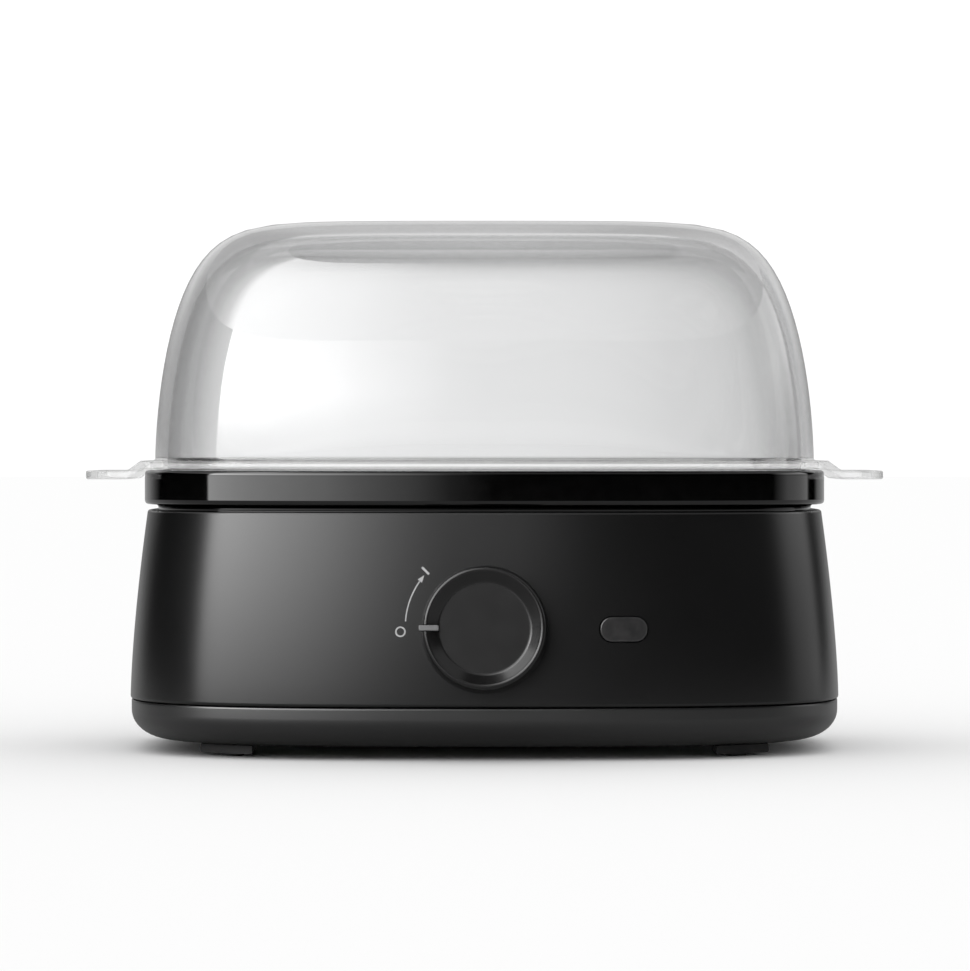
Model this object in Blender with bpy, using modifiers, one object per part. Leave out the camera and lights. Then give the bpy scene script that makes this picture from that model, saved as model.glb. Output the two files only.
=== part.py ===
"""Electric egg cooker for six eggs: a clear lid, a glossy rim, a tapered housing with a rotary
switch, and a base cover on four rubber feet. Inside are a steel heating plate with its tubular
element, a thermostat, the switch, a small circuit board and the wiring between them.

Metres, +Z up, front towards -Y. The origin is under the middle of the whole object."""

from math import atan, copysign, cos, pi, radians, sin

import bmesh
import bpy
from mathutils import Euler, Matrix, Vector
from mathutils.geometry import interpolate_bezier

# Plan shape: every shell is a superellipse whose half depth is its half width less a constant.
PLAN_POWER = 3.1
PLAN_SEGMENTS = 40
DEPTH_LESS = 0.0265
GAP = 0.0003

# Heights of the main seams.
FLOOR_Z = 0.0034
SEAM_Z = 0.0142
HOUSING_TOP_Z = 0.0667
RIM_BOTTOM_Z = 0.0683
RIM_TOP_Z = 0.0777
FLANGE_BOTTOM_Z = RIM_TOP_Z + GAP
FLANGE_TOP_Z = 0.0804
LID_TOP_Z = 0.1471

# Half widths of the main shells.
BASE_HALF = 0.0987
BASE_FLOOR_HALF = 0.0888
HOUSING_FOOT_HALF = 0.0990
HOUSING_LEAN = 0.0048
RIM_HALF = 0.09505
RIM_INNER_HALF = 0.0900
LEDGE_HALF = 0.0844
NECK_HALF = 0.0913
LID_FOOT_HALF = 0.0922
FLANGE_HALF = 0.0944
EAR_HALF = 0.1109
EAR_WIDTH = 0.056
EAR_THICKNESS = 0.0024
EAR_DROP = 0.0028
LIP_CLEARANCE = 0.0004
LIP_WALL = 0.0024
LIP_DEPTH = 0.0036
LIP_CHAMFER = 0.0012

# The lid's side follows a superellipse in half width and height.
LID_SIDE_POWER = 9.1
LID_RISE_POWER = 1.65
LID_LEVELS = 8

# Wall thicknesses.
LID_WALL = 0.0034
HOUSING_WALL = 0.0024
COVER_WALL = 0.0022
PLATE_SHEET = 0.0008
SHIELD_SHEET = 0.0006

# Knob and indicator on the front.
KNOB_Z = 0.0351
KNOB_RADIUS = 0.0170
KNOB_HEIGHT = 0.0130
KNOB_GAP = 0.0006
SHAFT_RADIUS = 0.0030
LENS_X = 0.0373
LENS_Z = 0.0353
LENS_LENGTH = 0.0128
LENS_WIDTH = 0.0066
INLET_Z = 0.0270

# Egg tray.
TRAY_HALF = 0.0818
TRAY_BOTTOM_Z = 0.0671
TRAY_UNDER_Z = 0.0696
TRAY_TOP_Z = 0.0718
EGG_RADIUS = 0.0195
EGG_PITCH_X = 0.0490
EGG_PITCH_Y = 0.0490
TAB_X = 0.0755
TAB_TOP_Z = 0.0772

# Feet, bosses and screws.
FOOT_X = 0.0703
FOOT_Y = 0.0430
FOOT_LENGTH = 0.0148
FOOT_DEPTH = 0.0260
FOOT_SOLE_Z = 0.0008
PAD_RADIUS = 0.0030
PAD_X = 0.0687
PAD_Y = 0.0450
TURRET_TOP_Z = 0.0120
TURRET_RADIUS = 0.0064
RECESS_TOP_Z = 0.0096
RECESS_RADIUS = 0.0043
BOSS_TOP_Z = 0.0340
BOSS_RADIUS = 0.0042
SCREW_RADIUS = 0.0014
SCREW_HOLE = SCREW_RADIUS + GAP

# Heating parts under the plate.
PLATE_FLOOR_Z = 0.0548
SINK_Z = 0.0534
ELEMENT_RADIUS = 0.0032
ELEMENT_HALF_X = 0.0400
ELEMENT_HALF_Y = 0.0175
ELEMENT_Z = SINK_Z - PLATE_SHEET - GAP - ELEMENT_RADIUS
STUD_X = 0.0640
STUD_RADIUS = 0.0019
STUD_END_Z = 0.0360
SHIELD_Z = 0.0415
SHIELD_HALF_X = 0.0705
SHIELD_HALF_Y = 0.0330
THERMOSTAT_RADIUS = 0.0080
THERMOSTAT_Z = 0.0462
TERMINAL_X = 0.0062
TERMINAL_Z = 0.0300
FUSE_X = -0.0235
FUSE_Z = 0.0490
FUSE_REACH = 0.0093

# Parts on the housing's inner side, as depths below its outer face.
BRACKET_DEPTH = 0.0063
SWITCH_DEPTH = 0.0078
SWITCH_BACK = 0.0220
BRACKET_SCREW_X = 0.0165
BOARD_DEPTH = 0.0103
BOARD_BACK = 0.0119
POINTER_WIDTH = 0.0015
POINTER_Z = 0.0096

# Wiring.
WIRE_RADIUS = 0.0009
TERMINAL_BLOCK_AT = (0.0, 0.0440)
SWITCH_BLADES = ((-0.0065, -0.0060), (0.0065, 0.0030), (0.0050, -0.0070))
SWITCHED_WIRE_HOLE = (0.0200, -0.0075)
ELEMENT_WIRE_HOLE = (-0.0210, 0.0095)
EARTH_TAG_SHEET = 0.0006
WIRE_END_GAP = 0.0004

FINISHES = {
    "clear_lid": ((0.86, 0.87, 0.88), 0.03, 0.0),
    "glossy_black": ((0.012, 0.012, 0.013), 0.06, 0.0),
    "matte_black": ((0.030, 0.030, 0.031), 0.42, 0.0),
    "knob_black": ((0.022, 0.021, 0.022), 0.22, 0.0),
    "pointer_grey": ((0.33, 0.33, 0.34), 0.45, 0.0),
    "smoked_lens": ((0.06, 0.06, 0.06), 0.15, 0.0),
    "rubber": ((0.020, 0.020, 0.020), 0.75, 0.0),
    "tray_black": ((0.035, 0.035, 0.036), 0.45, 0.0),
    "steel": ((0.62, 0.62, 0.61), 0.25, 1.0),
    "zinc": ((0.50, 0.50, 0.49), 0.40, 1.0),
    "silicone": ((0.55, 0.55, 0.53), 0.60, 0.0),
    "ceramic_white": ((0.80, 0.79, 0.76), 0.40, 0.0),
    "board_green": ((0.05, 0.20, 0.10), 0.45, 0.0),
    "switch_plastic": ((0.10, 0.10, 0.11), 0.50, 0.0),
    "led_clear": ((0.85, 0.80, 0.60), 0.10, 0.0),
    "wire_brown": ((0.20, 0.09, 0.05), 0.55, 0.0),
    "wire_blue": ((0.05, 0.13, 0.40), 0.55, 0.0),
    "wire_green": ((0.25, 0.45, 0.08), 0.55, 0.0),
    "wire_white": ((0.75, 0.75, 0.72), 0.55, 0.0),
}


# ---------------------------------------------------------------- scene and materials


def clear_scene():
    for obj in list(bpy.data.objects):
        bpy.data.objects.remove(obj, do_unlink=True)


def new_collection(name):
    collection = bpy.data.collections.new(name)
    bpy.context.scene.collection.children.link(collection)
    return collection


def new_material(name, colour, roughness, metallic):
    material = bpy.data.materials.new(name)
    material.use_nodes = True
    shader = material.node_tree.nodes["Principled BSDF"]
    shader.inputs["Base Color"].default_value = (*colour, 1.0)
    shader.inputs["Roughness"].default_value = roughness
    shader.inputs["Metallic"].default_value = metallic
    return material


clear_scene()
PARTS = new_collection("egg_cooker")
TOOLS = new_collection("cutters")
MATERIALS = {name: new_material(name, *values) for name, values in FINISHES.items()}


def new_frame(name, location, rotation=(0.0, 0.0, 0.0), parent=None):
    """An empty whose axes a group of parts is placed on."""
    frame = bpy.data.objects.new(name, None)
    PARTS.objects.link(frame)
    frame.location = location
    frame.rotation_euler = rotation
    frame.parent = parent
    return frame


def place(name, data, finish, frame, at=(0.0, 0.0, 0.0), turn=(0.0, 0.0, 0.0)):
    """A part, or a hidden tool where the finish is None, on a frame's axes."""
    obj = bpy.data.objects.new(name, data)
    obj.parent = frame
    obj.location = at
    obj.rotation_euler = turn
    if finish:
        PARTS.objects.link(obj)
        data.materials.append(MATERIALS[finish])
    else:
        TOOLS.objects.link(obj)
        obj.hide_render = True
        obj.display_type = "WIRE"
    return obj


def mesh_from(bm, name):
    bmesh.ops.recalc_face_normals(bm, faces=bm.faces)
    mesh = bpy.data.meshes.new(name)
    bm.to_mesh(mesh)
    bm.free()
    mesh.shade_smooth()
    mesh.set_sharp_from_angle(angle=radians(35))
    return mesh


def combine(target, tool, operation):
    modifier = target.modifiers.new(tool.name, "BOOLEAN")
    modifier.operation = operation
    modifier.object = tool
    return target


def cut(target, *tools):
    for tool in tools:
        combine(target, tool, "DIFFERENCE")


def join(target, *tools):
    for tool in tools:
        combine(target, tool, "UNION")


# ---------------------------------------------------------------- shapes


def half_depth(half_x):
    return half_x - DEPTH_LESS


def plan_ring(bm, half_x, z, filled):
    """One superellipse of the plan shape, made from a circle."""
    ring = bmesh.ops.create_circle(bm, cap_ends=filled, segments=PLAN_SEGMENTS, radius=1.0)
    for vert in ring["verts"]:
        x, y = vert.co.x, vert.co.y
        vert.co.x = half_x * copysign(abs(x) ** (2 / PLAN_POWER), x)
        vert.co.y = half_depth(half_x) * copysign(abs(y) ** (2 / PLAN_POWER), y)
        vert.co.z = z


def move_level(bm, verts, old, new):
    """Scales and lifts one level of a shell to the next level's size and height."""
    ratio = (new[0] / old[0], half_depth(new[0]) / half_depth(old[0]), 1.0)
    bmesh.ops.scale(bm, vec=ratio, verts=verts)
    bmesh.ops.translate(bm, vec=(0.0, 0.0, new[1] - old[1]), verts=verts)


def picked(result, kind):
    return [item for item in result["geom"] if isinstance(item, kind)]


def stacked_solid(name, levels):
    """A solid that follows (half width, height) levels, with a flat cap at each end."""
    bm = bmesh.new()
    plan_ring(bm, *levels[0], filled=True)
    first = top = bm.faces[:]
    for old, new in zip(levels, levels[1:]):
        grown = bmesh.ops.extrude_face_region(bm, geom=top)
        move_level(bm, picked(grown, bmesh.types.BMVert), old, new)
        if top is not first:
            bmesh.ops.delete(bm, geom=top, context="FACES_ONLY")
        top = picked(grown, bmesh.types.BMFace)
    return mesh_from(bm, name)


def extrude_ring(bm, edges, old, new):
    grown = bmesh.ops.extrude_edge_only(bm, edges=edges)
    verts = set(picked(grown, bmesh.types.BMVert))
    move_level(bm, list(verts), old, new)
    return [edge for edge in picked(grown, bmesh.types.BMEdge) if verts.issuperset(edge.verts)]


def stacked_ring(name, levels):
    """A closed ring whose section runs through (half width, height) levels."""
    bm = bmesh.new()
    plan_ring(bm, *levels[0], filled=False)
    first = edges = bm.edges[:]
    for old, new in zip(levels, levels[1:]):
        edges = extrude_ring(bm, edges, old, new)
    bmesh.ops.bridge_loops(bm, edges=first + edges)
    return mesh_from(bm, name)


def stacked_sheet(name, levels):
    """An open sheet from a flat floor outwards, facing up, for Solidify to thicken."""
    bm = bmesh.new()
    plan_ring(bm, *levels[0], filled=True)
    floor = bm.faces[:][0]
    edges = bm.edges[:]
    for old, new in zip(levels, levels[1:]):
        edges = extrude_ring(bm, edges, old, new)
    bmesh.ops.recalc_face_normals(bm, faces=bm.faces)
    floor.normal_update()
    if floor.normal.z < 0:
        bmesh.ops.reverse_faces(bm, faces=bm.faces)
    mesh = bpy.data.meshes.new(name)
    bm.to_mesh(mesh)
    bm.free()
    return mesh


def thicken(obj, thickness, side):
    """Gives a sheet its thickness, on the side it faces (1) or on its other side (-1)."""
    sheet = obj.modifiers.new("sheet", "SOLIDIFY")
    sheet.thickness = thickness
    sheet.offset = side
    sheet.use_even_offset = True


def cylinder_mesh(name, radius, low, high, at=(0.0, 0.0), segments=24, top_radius=None):
    bm = bmesh.new()
    bmesh.ops.create_cone(
        bm,
        cap_ends=True,
        segments=segments,
        radius1=radius,
        radius2=radius if top_radius is None else top_radius,
        depth=high - low,
    )
    bmesh.ops.translate(bm, vec=(at[0], at[1], (low + high) / 2), verts=bm.verts)
    return mesh_from(bm, name)


def block_mesh(name, size_x, size_y, low, high, at=(0.0, 0.0), round_by=0.0, corners=2):
    """A block, with its upright edges rounded where round_by is given."""
    bm = bmesh.new()
    bmesh.ops.create_cube(bm, size=1.0)
    bmesh.ops.scale(bm, vec=(size_x, size_y, high - low), verts=bm.verts)
    bmesh.ops.translate(bm, vec=(at[0], at[1], (low + high) / 2), verts=bm.verts)
    if round_by:
        upright = [
            edge for edge in bm.edges if abs(edge.verts[0].co.z - edge.verts[1].co.z) > 1e-6
        ]
        bmesh.ops.bevel(
            bm,
            geom=upright,
            offset=round_by,
            segments=corners,
            profile=0.5,
            affect="EDGES",
            material=-1,
        )
    return mesh_from(bm, name)


def turned(name, profile, finish, frame, steps, at=(0.0, 0.0, 0.0), turn=(0.0, 0.0, 0.0)):
    """A turned part: profile is (radius, height) from the top of the axis to its bottom."""
    bm = bmesh.new()
    verts = [bm.verts.new((radius, 0.0, z)) for radius, z in profile]
    for start, end in zip(verts, verts[1:]):
        bm.edges.new((start, end))
    mesh = bpy.data.meshes.new(name)
    bm.to_mesh(mesh)
    bm.free()
    obj = place(name, mesh, finish, frame, at, turn)
    screw = obj.modifiers.new("turn", "SCREW")
    screw.axis = "Z"
    screw.steps = screw.render_steps = steps
    screw.use_merge_vertices = True
    screw.merge_threshold = 0.00005
    return obj


def tube(name, points, radius, finish, frame, closed=False, resolution=2):
    """A round tube or wire along points."""
    curve = bpy.data.curves.new(name, "CURVE")
    curve.dimensions = "3D"
    curve.bevel_depth = radius
    curve.bevel_resolution = resolution
    curve.use_fill_caps = True
    spline = curve.splines.new("POLY")
    spline.points.add(len(points) - 1)
    for slot, point in zip(spline.points, points):
        slot.co = (*point, 1.0)
    spline.use_cyclic_u = closed
    return place(name, curve, finish, frame)


def smooth_route(points, steps=3):
    """A smooth curve through the points of a wire's route."""
    points = [Vector(point) for point in points]
    ends = [points[0] * 2 - points[1], *points, points[-1] * 2 - points[-2]]
    route = []
    for before, start, end, after in zip(ends, ends[1:], ends[2:], ends[3:]):
        handle = (end - before) / 6
        other = (after - start) / 6
        span = interpolate_bezier(start, start + handle, end - other, end, steps + 1)
        route.extend(span[:-1])
    return [*route, points[-1]]


def screw(name, length, finish, frame, at, turn=(0.0, 0.0, 0.0), head=0.0033, thick=0.0021):
    """A pan-head screw, its head's underside at the frame's height, pointing down."""
    profile = [
        (0.0, thick),
        (head * 0.62, thick),
        (head, thick * 0.55),
        (head, 0.0),
        (SCREW_RADIUS, 0.0),
        (SCREW_RADIUS, -length + SCREW_RADIUS),
        (0.0, -length),
    ]
    return turned(name, profile, finish, frame, 12, at, turn)


# ---------------------------------------------------------------- the housing's surface


def housing_half(z):
    """Half width of the housing's outer face: nearly upright at its foot, leaning in above."""
    share = (z - SEAM_Z) / (HOUSING_TOP_Z - SEAM_Z)
    return HOUSING_FOOT_HALF - HOUSING_LEAN * max(share, 0.0) ** 1.5


def wall_depth(x, z):
    """How far the housing's outer face is from the middle plane, at x and z."""
    half_x = housing_half(z)
    return half_depth(half_x) * (1 - (abs(x) / half_x) ** PLAN_POWER) ** (1 / PLAN_POWER)


def wall_frame(name, x, z, side, parent):
    """A frame on the housing's outer face, its +Z pointing out: side -1 is front, 1 is rear."""
    step = 0.0005
    lean = atan((wall_depth(x, z - step) - wall_depth(x, z + step)) / (2 * step))
    yaw = atan((wall_depth(x - step, z) - wall_depth(x + step, z)) / (2 * step))
    heading = yaw if side < 0 else pi - yaw
    location = (x, side * wall_depth(x, z), z)
    return new_frame(name, location, (pi / 2 - lean, 0.0, heading), parent)


def in_frame(frame, point):
    """A point of a frame on the body, in the body's own axes."""
    turn = Euler(frame.rotation_euler).to_matrix().to_4x4()
    return Matrix.Translation(frame.location) @ turn @ Vector(point)


body = new_frame("body", (0.0, 0.0, 0.0))
knob_axis = wall_frame("knob_axis", 0.0, KNOB_Z, -1, body)
lens_frame = wall_frame("lens_frame", LENS_X, LENS_Z, -1, body)
inlet_frame = wall_frame("inlet_frame", 0.0, INLET_Z, 1, body)


# ---------------------------------------------------------------- lid


def lid_half(z, foot_half, top_z):
    rise = (z - FLANGE_TOP_Z) / (top_z - FLANGE_TOP_Z)
    return foot_half * (1 - max(rise, 0.0) ** LID_RISE_POWER) ** (1 / LID_SIDE_POWER)


def lid_side(foot_half, top_z):
    """Levels up the lid's side, closer together where it turns over into the top."""
    levels = []
    for step in range(LID_LEVELS + 1):
        rise = sin(pi / 2 * step / LID_LEVELS) ** 1.4
        z = FLANGE_TOP_Z + (top_z - FLANGE_TOP_Z) * min(rise, 0.9985)
        levels.append((lid_half(z, foot_half, top_z), z))
    return levels


def make_ear(side):
    """A grip that runs out from the flange and steps down outside the rim."""
    stations = [(FLANGE_HALF - 0.0022, FLANGE_TOP_Z), (FLANGE_HALF + 0.0006, FLANGE_TOP_Z)]
    stations.append((FLANGE_HALF + 0.0045, FLANGE_TOP_Z - EAR_DROP))
    stations.append((EAR_HALF, FLANGE_TOP_Z - EAR_DROP))
    bm = bmesh.new()
    bmesh.ops.create_grid(bm, x_segments=len(stations) - 1, y_segments=1, size=1.0)
    for vert in bm.verts:
        x, z = stations[round((vert.co.x + 1) / 2 * (len(stations) - 1))]
        vert.co = (x, vert.co.y * EAR_WIDTH / 2, z)
    corners = [vert for vert in bm.verts if vert.co.x > EAR_HALF - GAP]
    bmesh.ops.bevel(bm, geom=corners, offset=0.009, segments=4, profile=0.5, affect="VERTICES")
    mesh = bpy.data.meshes.new("ear_shape")
    bm.to_mesh(mesh)
    bm.free()
    turn = (0.0, 0.0, 0.0 if side > 0 else pi)
    ear = place("ear_shape", mesh, None, body, turn=turn)
    thicken(ear, EAR_THICKNESS, -1.0)
    return ear


def make_lid():
    inner = lid_side(LID_FOOT_HALF - LID_WALL, LID_TOP_Z - LID_WALL)
    outer = lid_side(LID_FOOT_HALF, LID_TOP_Z)
    lip_outer = RIM_INNER_HALF - LIP_CLEARANCE
    lip_inner = lip_outer - LIP_WALL
    lip_end = FLANGE_BOTTOM_Z - LIP_DEPTH
    levels = list(reversed(inner))
    levels.append((inner[0][0], FLANGE_BOTTOM_Z - GAP))
    levels.append((lip_inner, FLANGE_BOTTOM_Z - GAP - LIP_CHAMFER))
    levels.append((lip_inner, lip_end))
    levels.append((lip_outer, lip_end))
    levels.append((lip_outer, FLANGE_BOTTOM_Z))
    levels.append((FLANGE_HALF, FLANGE_BOTTOM_Z))
    levels.append((FLANGE_HALF, FLANGE_TOP_Z))
    levels.extend(outer)
    lid = place("lid", stacked_solid("lid", levels), "clear_lid", body)
    join(lid, make_ear(1), make_ear(-1))
    return lid


# ---------------------------------------------------------------- rim, housing and base


def make_rim_band():
    """The glossy band: a ledge inside carries the heating plate, a neck enters the housing."""
    fillet = 0.0013
    edge = 0.0008
    ledge_z = 0.0705
    neck_inner = NECK_HALF - 0.0022
    levels = [(RIM_HALF - edge, RIM_BOTTOM_Z), (RIM_HALF, RIM_BOTTOM_Z + edge)]
    for step in range(3):
        angle = pi / 2 * step / 2
        half_x = RIM_HALF - fillet * (1 - cos(angle))
        levels.append((half_x, RIM_TOP_Z - fillet * (1 - sin(angle))))
    levels.append((RIM_INNER_HALF + edge, RIM_TOP_Z))
    levels.append((RIM_INNER_HALF, RIM_TOP_Z - edge))
    levels.append((RIM_INNER_HALF, ledge_z))
    levels.append((LEDGE_HALF, ledge_z))
    levels.append((LEDGE_HALF, ledge_z - 0.002))
    levels.append((neck_inner, ledge_z - 0.002))
    levels.append((neck_inner, 0.0620))
    levels.append((NECK_HALF, 0.0620))
    levels.append((NECK_HALF, RIM_BOTTOM_Z))
    return place("rim_band", stacked_ring("rim_band", levels), "glossy_black", body)


def wall_post(frame, name, x, y, radius, end_depth):
    """A round post on the inside of the housing's wall, down to end_depth below its face."""
    return place(name, cylinder_mesh(name, radius, -end_depth, -0.0016, (x, y), 16), None, frame)


def wall_hole(frame, name, x, y, radius, low, high):
    return place(name, cylinder_mesh(name, radius, low, high, (x, y), 16), None, frame)


def stadium_mesh(name, length, width, low, high):
    return block_mesh(name, length, width, low, high, round_by=width / 2 * 0.999, corners=6)


def board_posts():
    """Where the board's two screws go, on the axes of the indicator lens."""
    return ((-0.0105, -0.0135), (0.0165, 0.0045))


def make_housing():
    levels = []
    steps = 4
    bottom = SEAM_Z + GAP
    edge = 0.0007
    for step in range(steps + 1):
        z = bottom + (HOUSING_TOP_Z - edge - bottom) * step / steps
        levels.append((housing_half(z), z))
    levels.append((housing_half(HOUSING_TOP_Z) - edge, HOUSING_TOP_Z))
    inner = [(half_x - HOUSING_WALL, z) for half_x, z in levels[:-1]]
    levels.append((inner[-1][0] + GAP, HOUSING_TOP_Z))
    levels.extend(reversed(inner))
    housing = place("housing", stacked_ring("housing", levels), "matte_black", body)

    for side_x in (-1, 1):
        for side_y in (-1, 1):
            at = (side_x * FOOT_X, side_y * FOOT_Y)
            mesh = cylinder_mesh("boss", BOSS_RADIUS, TURRET_TOP_Z + GAP, BOSS_TOP_Z, at, 16)
            rib_at = (side_x * FOOT_X, side_y * (FOOT_Y + 0.0095))
            rib = block_mesh("boss_rib", 0.0018, 0.0160, 0.0180, 0.0310, rib_at)
            join(housing, place("boss", mesh, None, body), place("boss_rib", rib, None, body))
            hole = cylinder_mesh("boss_hole", SCREW_HOLE, 0.010, 0.0285, at, 12)
            cut(housing, place("boss_hole", hole, None, body))

    for x in (-BRACKET_SCREW_X, BRACKET_SCREW_X):
        post_end = BRACKET_DEPTH - GAP
        join(housing, wall_post(knob_axis, "switch_post", x, 0.0, 0.0032, post_end))
        hole = wall_hole(knob_axis, "switch_post_hole", x, 0.0, SCREW_HOLE, -0.0070, -0.0026)
        cut(housing, hole)
    for x, y in board_posts():
        join(housing, wall_post(lens_frame, "board_post", x, y, 0.0028, BOARD_DEPTH - GAP))
        hole = wall_hole(lens_frame, "board_post_hole", x, y, SCREW_HOLE, -0.0110, -0.0036)
        cut(housing, hole)

    cut(housing, wall_hole(knob_axis, "shaft_hole", 0.0, 0.0, 0.0037, -0.0045, 0.002))
    slot = stadium_mesh("lens_slot", LENS_LENGTH + 2 * GAP, LENS_WIDTH + 2 * GAP, -0.006, 0.004)
    cut(housing, place("lens_slot", slot, None, lens_frame))
    cut(housing, wall_hole(inlet_frame, "inlet_hole", 0.0, 0.0, 0.0063, -0.006, 0.004))
    return housing


def make_base_cover():
    levels = [(BASE_FLOOR_HALF, FLOOR_Z)]
    steps = 4
    for step in range(1, steps + 1):
        angle = pi / 2 * step / steps
        reach = BASE_HALF - BASE_FLOOR_HALF
        half_x = BASE_FLOOR_HALF + reach * sin(angle)
        levels.append((half_x, FLOOR_Z + (SEAM_Z - 0.003 - FLOOR_Z) * (1 - cos(angle))))
    levels.append((BASE_HALF, SEAM_Z))
    cover = place("base_cover", stacked_sheet("base_cover", levels), "matte_black", body)
    thicken(cover, COVER_WALL, 1.0)

    lip_outer = housing_half(SEAM_Z) - HOUSING_WALL - GAP
    lip_inner = lip_outer - 0.0016
    root_half = BASE_HALF - COVER_WALL / 2
    lip = [(root_half, SEAM_Z - 0.003), (root_half, SEAM_Z - 0.0006)]
    lip.extend([(lip_outer, SEAM_Z - 0.0004), (lip_outer, SEAM_Z + 0.0026)])
    lip.extend([(lip_inner, SEAM_Z + 0.0026), (lip_inner, SEAM_Z - 0.003)])
    join(cover, place("cover_lip", stacked_ring("cover_lip", lip), None, body))

    for side_x in (-1, 1):
        for side_y in (-1, 1):
            at = (side_x * FOOT_X, side_y * FOOT_Y)
            turret = cylinder_mesh("turret", TURRET_RADIUS, 0.0045, TURRET_TOP_Z, at, 20)
            join(cover, place("turret", turret, None, body))
            recess = cylinder_mesh("recess", RECESS_RADIUS, 0.0, RECESS_TOP_Z, at, 20)
            hole = cylinder_mesh("cover_hole", SCREW_HOLE, 0.005, 0.016, at, 12)
            cut(cover, place("recess", recess, None, body), place("cover_hole", hole, None, body))

    slot_count = 7
    for index in range(slot_count):
        at = ((index - (slot_count - 1) / 2) * 0.008, 0.0)
        slot = block_mesh("vent_slot", 0.0028, 0.034, 0.0, 0.010, at, 0.0013)
        cut(cover, place("vent_slot", slot, None, body))
    return cover


def make_foot(name, side_x, side_y):
    """A rubber foot: a rounded block trimmed to the cover's outline, with a round pad below."""
    at = (side_x * FOOT_X, side_y * FOOT_Y)
    top = FLOOR_Z - GAP
    block = block_mesh(name, FOOT_LENGTH, FOOT_DEPTH, FOOT_SOLE_Z, top, at, 0.003, 3)
    foot = place(name, block, "rubber", body)
    outline_half = BASE_FLOOR_HALF - GAP
    outline = [(outline_half, -0.002), (outline_half, 0.006)]
    trim = place("foot_trim", stacked_solid("foot_trim", outline), None, body)
    combine(foot, trim, "INTERSECT")
    pad_at = (side_x * PAD_X, side_y * PAD_Y)
    pad = cylinder_mesh("foot_pad", PAD_RADIUS, 0.0, 0.0020, pad_at, 16)
    plug = cylinder_mesh("foot_plug", RECESS_RADIUS - GAP, 0.0020, 0.0060, at, 16)
    join(foot, place("foot_pad", pad, None, body), place("foot_plug", plug, None, body))
    return foot


def make_feet():
    for name_y, side_y in (("front", -1), ("rear", 1)):
        for name_x, side_x in (("left", -1), ("right", 1)):
            make_foot(f"foot_{name_y}_{name_x}", side_x, side_y)
            at = (side_x * FOOT_X, side_y * FOOT_Y, RECESS_TOP_Z - GAP)
            screw(f"base_screw_{name_y}_{name_x}", 0.0175, "zinc", body, at, (pi, 0.0, 0.0))


# ---------------------------------------------------------------- knob, lens and inlet


def make_knob():
    """A dished knob with a hollow back and a stem bored for the shaft."""
    face = KNOB_GAP + KNOB_HEIGHT
    bevel_z = face - 0.0024
    profile = [(0.0, bevel_z), (0.0124, bevel_z), (0.0149, face - 0.0005)]
    for step in range(5):
        angle = radians(120 - 30 * step)
        profile.append((0.0158 + 0.0011 * cos(angle), face - 0.0011 + 0.0011 * sin(angle)))
    profile.extend([(KNOB_RADIUS - 0.0002, KNOB_GAP), (0.0154, KNOB_GAP)])
    profile.extend([(0.0148, face - 0.0040), (0.0052, face - 0.0040), (0.0052, 0.0010)])
    profile.extend([(SHAFT_RADIUS + GAP, 0.0010), (SHAFT_RADIUS + GAP, 0.0092), (0.0, 0.0092)])
    knob = turned("knob", profile, "knob_black", knob_axis, 32)
    slot_width = POINTER_WIDTH + 2 * GAP
    slot = block_mesh("pointer_slot", 0.0061, slot_width, POINTER_Z - GAP, 0.020, (-0.0151, 0.0))
    cut(knob, place("pointer_slot", slot, None, knob_axis))
    pointer = block_mesh("pointer", 0.0053, POINTER_WIDTH, POINTER_Z, face + 0.0001, (-0.0148, 0.0))
    place("knob_pointer", pointer, "pointer_grey", knob_axis)

    shaft = [(0.0, 0.0086), (SHAFT_RADIUS - 0.0004, 0.0086), (SHAFT_RADIUS, 0.0082)]
    shaft.extend([(SHAFT_RADIUS, -0.0150), (0.0, -0.0150)])
    turned("switch_shaft", shaft, "switch_plastic", knob_axis, 16)


def make_lens():
    """A clear stadium lens with a flange behind the wall."""
    lens = place(
        "indicator_lens",
        stadium_mesh("indicator_lens", LENS_LENGTH, LENS_WIDTH, -0.0040, 0.0005),
        "smoked_lens",
        lens_frame,
    )
    flange = stadium_mesh("lens_flange", LENS_LENGTH + 0.0024, LENS_WIDTH + 0.0024, -0.0044, -0.0034)
    join(lens, place("lens_flange", flange, None, lens_frame))


def make_cord_grommet():
    """The mains cord's gland: a bored sleeve with a flange on each side of the rear wall."""
    inner = -HOUSING_WALL - GAP
    profile = [(0.0038, 0.0020), (0.0072, 0.0020), (0.0082, 0.0012), (0.0082, GAP)]
    profile.extend([(0.0060, GAP), (0.0060, inner), (0.0076, inner), (0.0072, inner - 0.0016)])
    profile.extend([(0.0038, inner - 0.0016), (0.0038, 0.0020)])
    turned("cord_grommet", profile, "rubber", inlet_frame, 20)


# ---------------------------------------------------------------- tray and heating parts


def egg_places():
    for column in (-1, 0, 1):
        for row in (-0.5, 0.5):
            yield column * EGG_PITCH_X, row * EGG_PITCH_Y


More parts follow.
